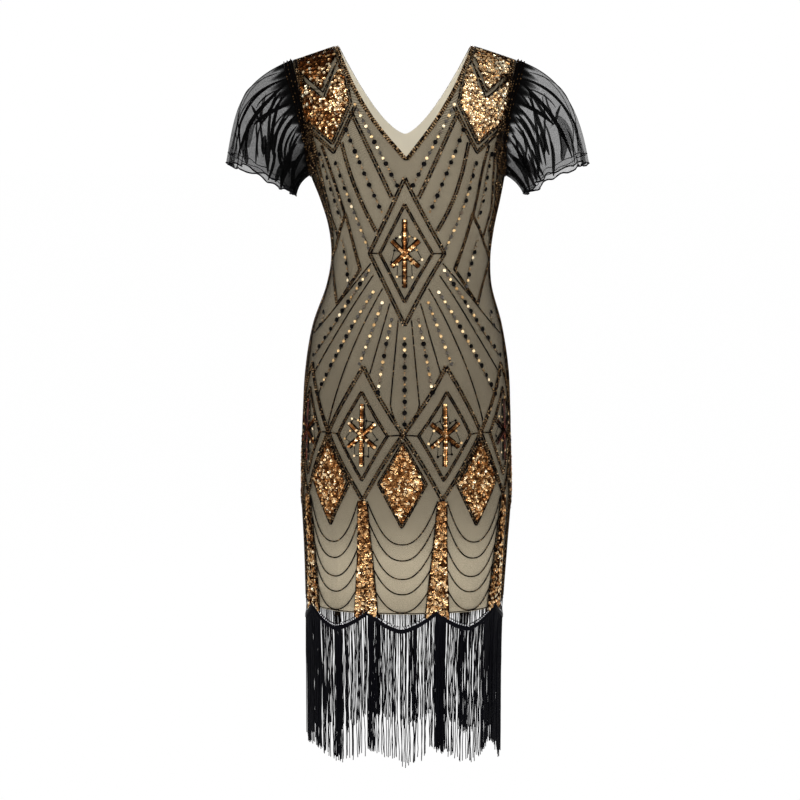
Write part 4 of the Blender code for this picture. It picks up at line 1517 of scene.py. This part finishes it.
@lru_cache(maxsize=None)
def finish(name):
    """The shared material of that name."""
    cloth, fringe = bpy.context.scene.dress_cloth, bpy.context.scene.dress_fringe
    make, *sizes = {
        "lining": (lining_material, "lining_knit", cloth.lining_colour, cloth.stitch),
        "lining_inside": (lining_material, "lining_inside", cloth.painted_light_inside_colour, cloth.stitch),
        "net": (net_material, "body_net", cloth.body_net_colour, cloth.net_cell, *BODY_NET),
        "sleeve": (net_material, "sleeve_net", cloth.net_colour, cloth.net_cell, *SLEEVE_NET),
        "beads": (toned_material, "bronze_beads", BEAD_STOPS, *BEAD_GLASS),
        "sequins": (toned_material, "copper_sequins", SEQUIN_STOPS, *COPPER_FOIL),
        "dots": (toned_material, "mixed_sequins", DOT_STOPS, *DOT_FOIL),
        "hem_beads": (toned_material, "hem_beads", HEM_BEAD_STOPS, *HEM_GLASS),
        "cord": (cord_material, "fringe_cord", fringe.cord_colour),
    }[name]
    return make(*sizes)


# Settings.


def size_setting(name, description, default, least=0.5 * MM):
    """A setting that is a length."""
    return bpy.props.FloatProperty(
        name=name, description=description, default=default, min=least, subtype="DISTANCE"
    )


def colour_setting(name, description, default):
    """A setting that is a colour."""
    return bpy.props.FloatVectorProperty(
        name=name, description=description, default=default, min=0, max=1, size=3, subtype="COLOR"
    )


class DressCloth(bpy.types.PropertyGroup):
    """Sizes and colours of the lining and the nets."""

    lining_colour: colour_setting("Lining", "Colour of the knit lining", (0.79, 0.68, 0.485))
    # The inside colour is a lighter, paler copy of the lining's: painted light on the inner side, which is seen
    # through the neck.
    painted_light_inside_colour: colour_setting("Inside", "Colour of the lining's inner side", (0.82, 0.76, 0.62))
    body_net_colour: colour_setting("Body Net", "Colour of the body net's threads", (0.016, 0.009, 0.003))
    net_colour: colour_setting("Net", "Colour of the net's threads", (0.0015, 0.0015, 0.0015))
    net_cell: size_setting("Net Cell", "Distance between the net's threads", 1.1 * MM, 0.4 * MM)
    stitch: size_setting("Stitch", "Distance between the lining's stitches", 0.9 * MM, 0.4 * MM)


class DressBeadwork(bpy.types.PropertyGroup):
    """Sizes of beads and sequins."""

    bold_bead: size_setting("Bold Bead", "Diameter of a bead in the widest rows", 2.6 * MM)
    light_bead: size_setting("Light Bead", "Diameter of a bead in the other double rows", 2.2 * MM)
    thin_bead: size_setting("Thin Bead", "Diameter of a bead in the single rows", 2.05 * MM)
    bead_spacing: size_setting("Bead Spacing", "Distance from bead to bead along a row", 2.1 * MM)
    sequin: size_setting("Sequin", "Diameter of a sequin", 4.8 * MM)
    sequin_pitch: size_setting("Sequin Pitch", "Distance between sequins in a filled shape", 3.6 * MM)
    dot: size_setting("Dot", "Diameter of a sequin on a dotted line", 6.2 * MM)
    star_sequin: size_setting("Star Sequin", "Diameter of a sequin in a star's arms", 5.2 * MM)


class DressFringe(bpy.types.PropertyGroup):
    """Sizes and colour of the fringe."""

    strands_per_unit: bpy.props.IntProperty(
        name="Strands", description="Strands to each scallop", default=41, min=4, max=120
    )
    strand: size_setting("Strand", "Diameter of a strand", 1.25 * MM, 0.2 * MM)
    length: size_setting("Length", "Length of a strand below the hem", 21.6 * CM, 1 * CM)
    uneven: size_setting("Unevenness", "How far the strands' ends differ", 0.9 * CM, 0.0)
    cord_colour: colour_setting("Cord", "Colour of the fringe", (0.0015, 0.0015, 0.003))


class DressStage(bpy.types.PropertyGroup):
    """The floor, the light and the camera."""

    floor_drop: size_setting("Floor Drop", "Height of the shoulders over the floor", 1.42, 0.1)
    light_power: bpy.props.FloatProperty(
        name="Light", description="Power of the strongest lamp", subtype="POWER", default=57.0, min=0.0
    )
    surround: bpy.props.FloatProperty(
        name="Surround", description="Brightness of the studio round the dress", default=0.40, min=0.0
    )


# Operators.


class DRESS_OT_lining(bpy.types.Operator):
    """Make the front and back lining"""

    bl_idname = "dress.lining"
    bl_label = "Lining"

    def execute(self, context):
        for name, side in SIDES.items():
            points, _ = panel_grid(name, -LINING_HEM_DROP, LINING_OUT)
            shape = points, grid_faces(*points.shape[:2], flip=side > 0)
            cloth = sew(
                f"{name}_lining_cloth", "lining", shape, "lining", f"{name}_lining", uv=along_grid(points)
            # The inner faces and rims take the lighter copy of the lining: painted light.
            )
            cloth.data.materials.append(finish("lining_inside"))
            solidify = cloth.modifiers.new("thickness", "SOLIDIFY")
            solidify.thickness = LINING_THICKNESS
            solidify.offset = 0.0
            solidify.material_offset = 1
            solidify.material_offset_rim = 1
            share = np.linspace(-0.999, 0.999, 200)
            path, _ = place(side, share, -LINING_HEM_DROP + HEM_STITCH_UP, LINING_OUT + 0.5 * MM)
            sew_cords(f"{name}_lining_hem", "lining", [tube(path, HEM_STITCH)])
        return {"FINISHED"}


def net_closeness(share, z):
    """How closely the net's threads lie: by height, partly painted light from behind low on the skirt, closer in the
    side band, closest at the side seams.
    """
    share = np.abs(share)
    in_band = eased((share - side_band(z) + 0.02) / SIDE_BAND_EDGE)
    in_band = in_band * np.clip((-z - SIDE_BAND_TOP) / (3 * CM), 0, 1)
    aside = np.clip((share - SIDES_FROM) / (1 - SIDES_FROM), 0, 1) ** 1.5
    closer = (SIDE_BAND_CLOSENESS - 1) * in_band + (SIDE_CLOSENESS - 1) * aside
    return by_drop(NET_CLOSENESS_AND_BACKLIGHT, z) * (1 + closer)


def narrowing(t):
    """How wide a fold is along its length: full at its middle, rounded off to both ends, as a power of a
    sine."""
    return np.sin(math.pi * np.clip(t, 0.02, 0.98)) ** 0.4


def tuck_ribbons(side):
    """Narrow folds of the net along its sides, as flat ribbons, widest at their middles, where the net lies
    over itself a few times: a pair of points and faces, and the closeness of the threads."""
    shapes, closeness = [], []
    t = np.linspace(0, 1, 60)
    across = np.array([-1.0, 0.0, 1.0])[:, None]
    for hand in (-1, 1):
        for tuck in map(Tuck._make, TUCKS):
            share = part_way(tuck.share_from, tuck.share_to, t, tuck.bow)
            z = -part_way(tuck.drop_from, tuck.drop_to, t) * CM
            wide = tuck.half_width * MM * narrowing(t)
            at = np.clip(share + across * wide / PANEL_HALF_LENGTH, -TUCK_END, TUCK_END) * hand
            there, _ = place(side, at, z, NET_OUT + TUCK_LIFT + (1 - across**2) * TUCK_RISE)
            shapes.append((there.transpose(1, 0, 2).reshape(-1, 3), grid_faces(len(t), 3)))
            closeness.append(TUCK_LAYERS * (net_closeness(at, z).T.ravel() + 0.4))
    return joined(shapes), np.concatenate(closeness)


class DRESS_OT_net(bpy.types.Operator):
    """Make the front and back net, which hangs over the lining, and the narrow folds along its sides"""

    bl_idname = "dress.net"
    bl_label = "Net"

    def execute(self, context):
        for name, side in SIDES.items():
            points, _ = panel_grid(name, scallop_hem(PANEL_SHARES), NET_OUT)
            shape = points, grid_faces(*points.shape[:2], flip=side > 0)
            closeness = net_closeness(PANEL_SHARES, points[..., 2])
            sew(f"{name}_net_cloth", "net", shape, "net", f"{name}_net", uv=along_grid(points),
                closeness=closeness)
            shape, closeness = tuck_ribbons(side)
            sew(f"{name}_net_tucks", "net", shape, "sleeve", uv=shape[0][:, (0, 2)], closeness=closeness)
        return {"FINISHED"}


class DRESS_OT_seams(bpy.types.Operator):
    """Make the narrow binding over the net's shoulder and side seams"""

    bl_idname = "dress.seams"
    bl_label = "Seams"

    def execute(self, context):
        for name, hand in HANDS.items():
            z = np.linspace(-UNDERARM_DROP, -SCALLOP_PEAK_DROP, 120)
            seam = hand * (section("half_width", z) + NET_OUT) + section("to_right", z)
            x = np.linspace(NECK_HALF_WIDTH, SHOULDER_HALF_WIDTH, 30)
            top = -SHOULDER_DROP * past_neck(x) + NET_OUT
            paths = (seam, 0 * z, z), (hand * x + section("to_right", top), 0 * x, top)
            tubes = [tube(np.stack(path, axis=-1), SEAM_BINDING) for path in paths]
            sew_cords(f"{name}_seam_binding", "net", tubes)
        return {"FINISHED"}


def neck_edge(side_name, inward):
    """A line along a panel's neck edge, a distance inside it, in the figure's own x and z."""
    x = NECK_HALF_WIDTH * np.sin(np.linspace(-math.pi / 2, math.pi / 2, 400))
    z = neckline(side_name, x)
    step = unit(np.stack([np.gradient(x), np.gradient(z)], axis=-1))
    return x + step[:, 1] * inward, z - step[:, 0] * inward


class DRESS_OT_neck_edge(bpy.types.Operator):
    """Make the beaded edging round the neck"""

    bl_idname = "dress.neck_edge"
    bl_label = "Neck Edge"

    def execute(self, context):
        beads = context.scene.dress_beadwork
        for name, side in SIDES.items():
            rows = [
                spaced_along(*from_local(side, *neck_edge(name, inward * MM), BEAD_OUT), beads.bead_spacing)
                for inward in NECK_ROWS
            ]
            sew_beads(f"{name}_neck_beads", "neck_band", together(rows), beads.bold_bead, 11 + side, 0.8,
                      sides=4, nodes=(f"{name}_neck_band",))
        return {"FINISHED"}


class DRESS_OT_bead_lines(bpy.types.Operator):
    """Make the rows of beads on the net"""

    bl_idname = "dress.bead_lines"
    bl_label = "Bead Lines"

    def execute(self, context):
        beads = context.scene.dress_beadwork
        drawn = bold_lines(), light_lines(), thin_lines(), swag_lines(), edge_lines()
        for name, side in SIDES.items():
            strips = []
            for number, ((kind, row), lines) in enumerate(zip(BEAD_KINDS.items(), drawn)):
                offsets = (-row.aside, row.aside) if row.aside else (0.0,)
                size = getattr(beads, row.bead) * row.scale
                parts = bead_rows(side, lines, offsets, beads.bead_spacing)
                sew_beads(f"{name}_{kind}_beads", "net", parts, size, 21 + 2 * number + (side > 0),
                          row.bright, row.glint, row.lit_tones)
                strips.append(thread_strips(side, lines, offsets, size * THREAD_SHARE))
            sew_cords(f"{name}_threads", "net", strips)
        return {"FINISHED"}


class DRESS_OT_sequins(bpy.types.Operator):
    """Make the sequins of the shoulders, lozenges, columns and dotted lines"""

    bl_idname = "dress.sequins"
    bl_label = "Sequins"

    def execute(self, context):
        beads = context.scene.dress_beadwork
        for name, side in SIDES.items():
            rng = np.random.default_rng(41 + side)
            for layer in SEQUIN_LAYERS:
                share, z, tones = sequin_places(beads.sequin_pitch * layer.pitch, rng, layer.scatter)
                sew_sequins(f"{name}_{layer.name}", side, share, z, beads.sequin * layer.size, layer.tilt,
                            layer.darkest + tones * layer.rise, "sequins", layer.seed + side, layer.out)
            (share, z, tones, sizes), lines = dotted_places(rng)
            sew_sequins(f"{name}_dot_sequins", side, share, z, beads.dot * sizes, DOT_TILT, tones,
                        "dots", 61 + side, SEQUIN_OUT + DOT_LIFT)
            parts = bead_rows(side, on_panel(lines), (0.0,), beads.bead_spacing * 1.15)
            sew_beads(f"{name}_dot_beads", "net", parts, beads.thin_bead, 65 + side, 0.45)
        return {"FINISHED"}


class DRESS_OT_stars(bpy.types.Operator):
    """Make the stars inside the open lozenges, of overlapping sequins edged with beads"""

    bl_idname = "dress.stars"
    bl_label = "Stars"

    def execute(self, context):
        beads = context.scene.dress_beadwork
        for name, side in SIDES.items():
            rng = np.random.default_rng(91 + side)
            arms, dots, stems = [], [], []
            for there in star_places():
                arms += star_arms(there)
                dots.append(star_dots(there, rng))
                stems += star_stems(*dots[-1], there)
            arms = on_panel(arms)
            at, along, across, n = together([
                spaced_along(*place(side, share, z, SEQUIN_OUT + STAR_SEQUIN_LIFT), STAR_SEQUIN_SPACING)
                for share, z in arms
            ])
            cos, sin = math.cos(STAR_SEQUIN_LEAN), math.sin(STAR_SEQUIN_LEAN)
            size = beads.star_sequin * rng.uniform(*STAR_SEQUIN_SIZES, len(at))
            lit = rng.random(len(at)) < STAR_BRIGHT_SHARE
            tones = np.where(lit, rng.uniform(*STAR_BRIGHT, len(at)), rng.uniform(*STAR_DULL, len(at)))
            # Star sequins more than 12 cm from the centre are darkened: painted shade, which hides their bright
            # reflection at a low slant near the sides.
            tones *= 1 - 0.6 * np.clip((np.abs(at[:, 0]) - 0.12) / 0.02, 0, 1)
            sew_discs(f"{name}_star_sequins", at, along * cos - n * sin, across, n * cos + along * sin, size,
                      tones, "sequins")
            aside = beads.star_sequin / 2 + 0.5 * MM
            edges = bead_rows(side, arms, (-aside, aside), beads.bead_spacing)
            sew_beads(f"{name}_star_beads", "net", edges, beads.thin_bead, 95 + side, 0.1)
            sew_cords(f"{name}_star_threads", "net", [
                thread_strips(side, arms, (-aside, aside), beads.thin_bead * 0.6),
                thread_strips(side, on_panel(stems), (0.0,), STAR_STEM),
            ])
            share, z = together(dots)
            kept = np.abs(share) < 0.995
            share, z = share[kept], z[kept]
            lit = rng.random(len(z)) < STAR_DOT_SHARE
            tones = np.where(lit, rng.uniform(*STAR_DOT_BRIGHT, len(z)), STAR_DOT_DARK)
            sew_sequins(f"{name}_star_dots", side, share, z, beads.dot * STAR_DOT_SIZE, STAR_DOT_TILT, tones,
                        "dots", 97 + side, SEQUIN_OUT + STAR_DOT_LIFT)
        return {"FINISHED"}


@lru_cache(maxsize=None)
def armhole_ring(hand):
    """The closed line along an armhole, up its front edge and down its back one, lifted clear of the net,
    and the length along it."""
    edges = []
    for name in SIDES:
        points, n = panel_grid(name, -LINING_HEM_DROP, NET_OUT)
        edge = np.s_[-ROWS_ABOVE_UNDERARM - 1:, -1 if hand > 0 else 0]
        edge = points[edge] + n[edge] * (SLEEVE_LIFT - NET_OUT)
        edge[:, 0] -= section("to_right", edge[:, 2])
        edges.append(edge)
    loop = np.concatenate([edges[0], edges[1][::-1], edges[0][:1]])
    return loop, run_along(loop)


def even_sleeve(hand, turn, t):
    """Points of a sleeve's even form: at a turn round it, 0 at the underarm and half way at the crown, and a
    share t of the way from armhole to cuff. Each line is a cubic curve from the armhole to an oval cuff."""
    loop, length = armhole_ring(hand)
    at = np.mod(turn / (2 * math.pi), 1.0) * length[-1]
    start = np.stack([np.interp(at, length, column) for column in loop.T], axis=-1)
    crown, under = (SLEEVE_LINES[key] for key in ("right" if hand > 0 else "left", "underarm"))
    sizes = part_way(under * CM, crown * CM, (1 - np.cos(turn[..., None])) / 2)
    end_x, end_z, set_off_x, set_off_z, arrive_x, arrive_z = np.moveaxis(sizes, -1, 0)
    facing = -np.sin(turn)
    end = np.stack([hand * end_x, facing * CUFF_HALF_DEPTH, end_z + HEM_MIDDLE_RISE * facing**2], axis=-1)
    set_off = np.stack([hand * set_off_x, facing * SLEEVE_SIDE_SET_OFF, set_off_z], axis=-1)
    arrive = np.stack([hand * arrive_x, 0 * turn, arrive_z], axis=-1)
    t = t[..., None]
    near = (1 - t) ** 3 * start + 3 * (1 - t) ** 2 * t * (start + set_off)
    return near + 3 * (1 - t) * t**2 * (end - arrive) + t**3 * end


def gathered(turn, t):
    """How much a sleeve is gathered: 1 at the armhole, down to 0 a short way out, further out between some
    gathers than between others."""
    reach = GATHER_REACH * (1 + 0.3 * np.sin(turn * 3 + 1) + 0.3 * np.cos(turn * GATHERS * 0.6))
    return np.clip(1 - t / reach, 0, 1)


def sleeve_points(hand, turn, t, out=0.0):
    """Points of a sleeve and their normals, moved out by a distance: its even form, with waves that grow
    towards the cuff, small ripples, and gathers at the armhole."""
    t = t + 0 * turn
    step = 0.01
    round_it = even_sleeve(hand, turn + step, t) - even_sleeve(hand, turn - step, t)
    down = even_sleeve(hand, turn, t + step) - even_sleeve(hand, turn, t - step)
    n = unit(np.cross(down, round_it) * hand)
    phase = turn * SLEEVE_WAVES + 0.9 * np.sin(2 * turn + hand) + 0.6 * np.sin(5 * turn)
    lift = part_way(WAVE_AT_ARMHOLE, WAVE_AT_CUFF, t) * np.cos(phase)
    lift = lift + RIPPLE * t * np.cos(turn * RIPPLES + 3 * np.sin(2 * turn))
    lift = lift + GATHER_LIFT * gathered(turn, t) * np.cos(turn * GATHERS)
    points = even_sleeve(hand, turn, t) + n * (lift + out)[..., None]
    points[..., 2] += HEM_WAVE_DROP * (np.sin(phase + 0.7) + 0.7 * np.sin(5.3 * turn + hand)) * t**4
    points[..., 0] += section("to_right", points[..., 2])
    return points, n


def sleeve_folds(hand, rows):
    """Narrow folds of a sleeve, as ribbons that lie on it along their lines, each standing out a little
    along its middle: a pair of points and quads, flat places and how many times the net lies over itself."""
    shapes, looks = [], []
    t = np.linspace(0, 1, 30)
    across = np.array([-1.0, 0.0, 1.0])[:, None, None]
    for fold in map(SleeveFold._make, rows):
        turn = np.radians(part_way(fold.turn_from, fold.turn_to, t, fold.bow))
        way = part_way(fold.way_from / 100, fold.way_to / 100, t)
        path, n = sleeve_points(hand, turn, way, SLEEVE_FOLD_LIFT)
        aside = unit(np.cross(n, np.gradient(path, axis=0)))
        wide = fold.half_width * FOLD_WIDTH * narrowing(t)
        ribbon = path + across * aside * wide[:, None] + n * (1 - across**2) * SLEEVE_FOLD_RISE
        shapes.append((ribbon.reshape(-1, 3), grid_faces(3, len(t))))
        spread = across[..., 0] * wide
        flat = np.stack([spread, run_along(path) + 0 * spread], axis=-1).reshape(-1, 2)
        looks.append((flat, np.full(len(flat), fold.layers)))
    return joined(shapes), *together(looks)


class DRESS_OT_sleeves(bpy.types.Operator):
    """Make the gathered net sleeves, their folds, their hems and the beads over their gathers"""

    bl_idname = "dress.sleeves"
    bl_label = "Sleeves"

    def execute(self, context):
        beads = context.scene.dress_beadwork
        for name, hand in HANDS.items():
            round_it = np.linspace(0, 2 * math.pi, SLEEVE_COLUMNS_ROUND, endpoint=False)
            t, turn = np.meshgrid(np.linspace(0, 1, SLEEVE_ROWS), round_it, indexing="ij")
            points, _ = sleeve_points(hand, turn, t)
            under = np.degrees(np.minimum(turn, 2 * math.pi - turn))
            closeness = SLEEVE_CLOSENESS[name] + GATHER_CLOSENESS * gathered(turn, t) ** 0.8
            closeness = closeness + UNDERARM_CLOSENESS[name] * bell(under / UNDERARM_REACH)
            shape = points, grid_faces(*t.shape, closed=True, flip=hand > 0)
            flat = np.stack([run_along(points, axis=1), run_along(points)], axis=-1)
            sew(f"{name}_sleeve_cloth", "sleeve", shape, "sleeve", f"{name}_sleeve", uv=flat,
                closeness=closeness)
            other = map(SleeveFold._make, SLEEVE_FOLDS["right" if hand < 0 else "left"])
            behind = tuple(
                row._replace(turn_from=360 - row.turn_from, turn_to=360 - row.turn_to, bow=-row.bow)
                for row in other
            )
            shape, flat, layers = sleeve_folds(hand, SLEEVE_FOLDS[name] + behind)
            sew(f"{name}_sleeve_folds", "sleeve", shape, "sleeve", uv=flat,
                closeness=layers * FOLD_CLOSENESS[name])
            sew_cords(f"{name}_sleeve_hem", "sleeve", [
                tube(sleeve_points(hand, round_it, at)[0], radius, closed=True)
                for at, radius in ((1.0, HEM_ROLL), (HEM_STITCHES_AT, HEM_ROLL / 2))
            ], flat=(0, 1))
            whole = np.linspace(0, 2 * math.pi, 400)
            rows = [
                spaced_along(*sleeve_points(hand, whole, at, SLEEVE_BEAD_OUT), beads.bead_spacing * 1.1)
                for at in SLEEVE_BEAD_ROWS
            ]
            sew_beads(f"{name}_sleeve_beads", "sleeve", together(rows), beads.light_bead, 31 + hand,
                      *SLEEVE_BEAD_LOOK)
        return {"FINISHED"}


def fringe_paths(name, sizes):
    """Paths of a panel's fringe strands, ring by ring: each hangs from the scallop's edge, drifts and sways
    a little aside, is uneven in depth and draws slightly inward. Strands stand evenly, with bundles
    between."""
    side = SIDES[name]
    rng = np.random.default_rng(71 + side)
    count = int(sizes.strands_per_unit * UNITS_PER_PANEL * (BACK_STRANDS if side > 0 else 1))
    units = [((np.arange(count) + 0.5) / count * 4 - 2) + rng.uniform(-1.2, 1.2, count) / count]
    for bundle in map(Bundle._make, BUNDLES[name]):
        spread = rng.normal(0, bundle.half_width * 0.55, bundle.strands)
        units.append(bundle.middle + np.clip(spread, -bundle.half_width, bundle.half_width))
    units = np.clip(np.concatenate(units), -OUTERMOST_STRAND, OUTERMOST_STRAND)
    count = len(units)
    t = np.linspace(0, 1, STRAND_RINGS)[:, None]
    drift = rng.normal(0, STRAND_DRIFT, count)
    sway = rng.normal(0, STRAND_SWAY, (3, count))
    wander = sway[0] * np.sin(t * 4.0 + sway[1] * 300) + sway[2] * t * np.sin(t * 9.0)
    wander += STRAND_CURL * np.sin(t * 36.0 + rng.uniform(0, 6.3, count)) * rng.uniform(0, 1, count)
    path_units = units + drift * t + wander * np.clip(t * 4, 0, 1)
    length = sizes.length + rng.normal(0, 1, count) * sizes.uneven * 0.45 + LENGTH_WAVE * np.sin(units * 7.0)
    length += LONGER_END[1] * np.maximum(units - LONGER_END[0], 0)
    length -= SHORTER_END[1] * np.maximum(-units - SHORTER_END[0], 0)
    z = scallop_hem(units / 2) - 1.0 * MM - t * length
    base, n = place(side, np.clip(path_units / 2, -1, 1), np.maximum(z, -FRINGE_STRAIGHT_DROP), HEM_BAND_OUT)
    n[..., 2] = 0.0
    paths = base + n * (rng.normal(0, STRAND_DEPTH, count) * MM * np.clip(t * 3, 0, 1))[..., None]
    paths[..., 2] = z
    paths[..., 0] *= 1 - FRINGE_INWARD * np.clip(t * 2.5, 0, 1)
    return paths


class DRESS_OT_fringe(bpy.types.Operator):
    """Make the fringe, with its braid and beads along the scallops"""

    bl_idname = "dress.fringe"
    bl_label = "Fringe"

    def execute(self, context):
        sizes = context.scene.dress_fringe
        beads = context.scene.dress_beadwork
        for name, side in SIDES.items():
            points, faces, uv = strands(fringe_paths(name, sizes), sizes.strand / 2)
            sew(f"{name}_fringe_cords", "fringe", (points, faces), "cord", f"{name}_fringe", uv=uv)
            share = np.linspace(-1, 1, 320)
            edge = scallop_hem(share)
            sew_cords(f"{name}_hem_braid", "fringe", [
                tube(place(side, share, edge + up * MM, HEM_BAND_OUT)[0], BRAID) for up in BRAID_ROWS
            ])
            for number, (up, bright) in enumerate(HEM_BEAD_ROWS):
                parts = bead_rows(side, [(share, edge + up * MM)], (0.0,), beads.bead_spacing)
                sew_beads(f"{name}_hem_beads_{number}", "fringe", parts, beads.thin_bead,
                          81 + 2 * number + (side > 0), bright, material="hem_beads")
        return {"FINISHED"}


class DRESS_OT_stage(bpy.types.Operator):
    """Make the floor, the lights and the camera"""

    bl_idname = "dress.stage"
    bl_label = "Stage"

    def execute(self, context):
        scene, stage = context.scene, context.scene.dress_stage
        half = FLOOR_HALF_WIDTH
        corners = np.array([(-half, -half), (half, -half), (half, half), (-half, half)])
        made, tree, shader = shader_tree("pale_floor")
        fill(tree, shader, {"Base Color": (FLOOR_GREY,) * 3 + (1.0,), "Roughness": 0.9})
        white = node(tree, "Emission", {"Strength": 1.0}, "Emission")
        share = maths(tree, "MULTIPLY", node(tree, "LightPath", {}, "Is Camera Ray"), FLOOR_WHITENED)
        mixed = node(tree, "MixShader", {0: share, 1: shader.outputs["BSDF"], 2: white}, "Shader")
        fill(tree, tree.nodes["Material Output"], {"Surface": mixed})
        points = np.column_stack([corners, np.full(4, -stage.floor_drop)])
        floor = new_object("floor", points, np.array([[0, 1, 2, 3]]), made, smooth=False)
        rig.stage(floor)

        scene.world = bpy.data.worlds.new("studio")
        scene.world.use_nodes = True
        tree = scene.world.node_tree
        seen = node(tree, "LightPath", {}, "Is Camera Ray")
        strength = node(tree, "MapRange", {"Value": seen, "To Min": stage.surround, "To Max": 1.0}, "Result")
        fill(tree, tree.nodes["Background"], {"Strength": strength, "Color": (1.0, 1.0, 1.0, 1.0)})
        for lamp in LAMPS:
            light = bpy.data.lights.new(lamp.name, "AREA")
            light.energy = stage.light_power * lamp.power
            light.size = lamp.size
            placed = bpy.data.objects.new(lamp.name, light)
            placed.location = lamp.place
            placed.rotation_euler = [math.radians(a) for a in lamp.turn]
            scene.collection.objects.link(placed)
        camera = bpy.data.objects.new("camera", bpy.data.cameras.new("camera"))
        camera.location = CAMERA_PLACE
        camera.rotation_euler = (math.radians(CAMERA_TURN), 0, 0)
        camera.data.lens = CAMERA_LENS
        camera.data.sensor_width = CAMERA_SENSOR
        scene.collection.objects.link(camera)
        scene.camera = camera
        scene.view_settings.view_transform = "Standard"
        return {"FINISHED"}


class DRESS_PT_panel(bpy.types.Panel):
    """The dress's settings and the operators that make its pieces"""

    bl_idname = "DRESS_PT_panel"
    bl_label = "Flapper Dress"
    bl_space_type = "VIEW_3D"
    bl_region_type = "UI"
    bl_category = "Flapper Dress"

    def draw(self, context):
        for settings in SETTINGS:
            box = self.layout.box()
            group = getattr(context.scene, settings)
            for name in group.bl_rna.properties.keys():
                if name not in ("rna_type", "name"):
                    box.prop(group, name)
        for operator in OPERATORS:
            self.layout.operator(operator.bl_idname)


OPERATORS = (
    DRESS_OT_lining, DRESS_OT_net, DRESS_OT_seams, DRESS_OT_neck_edge, DRESS_OT_bead_lines, DRESS_OT_sequins,
    DRESS_OT_stars, DRESS_OT_sleeves, DRESS_OT_fringe, DRESS_OT_stage,
)
SETTINGS = {
    "dress_cloth": DressCloth,
    "dress_beadwork": DressBeadwork,
    "dress_fringe": DressFringe,
    "dress_stage": DressStage,
}


def register():
    for name, group in SETTINGS.items():
        bpy.utils.register_class(group)
        setattr(bpy.types.Scene, name, bpy.props.PointerProperty(type=group))
    for made in (*OPERATORS, DRESS_PT_panel):
        bpy.utils.register_class(made)


def unregister():
    for made in reversed((*OPERATORS, DRESS_PT_panel)):
        bpy.utils.unregister_class(made)
    for name, group in SETTINGS.items():
        delattr(bpy.types.Scene, name)
        bpy.utils.unregister_class(group)


def state_cuts():
    """States each cloth's cut, with the pieces sewn on it."""
    for cut in CUTS:
        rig.sheet(
            bpy.data.objects[cut.cloth], flat=(cut.width, cut.length), held=cut.held, rests_on=cut.rests_on,
            area=cut.area, with_pieces=SEWN_ON[cut.cloth],
        )


def main():
    register()
    bpy.ops.dress.lining()
    bpy.ops.dress.net()
    bpy.ops.dress.seams()
    bpy.ops.dress.neck_edge()
    bpy.ops.dress.bead_lines()
    bpy.ops.dress.sequins()
    bpy.ops.dress.stars()
    bpy.ops.dress.sleeves()
    bpy.ops.dress.fringe()
    state_cuts()
    bpy.ops.dress.stage()
    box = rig.bounds()
    with open("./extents.json", "w") as file:
        json.dump({"cad": [list(c) for c in cad_box], "visual": [list(c) for c in box]}, file)


if __name__ == "__main__":
    main()
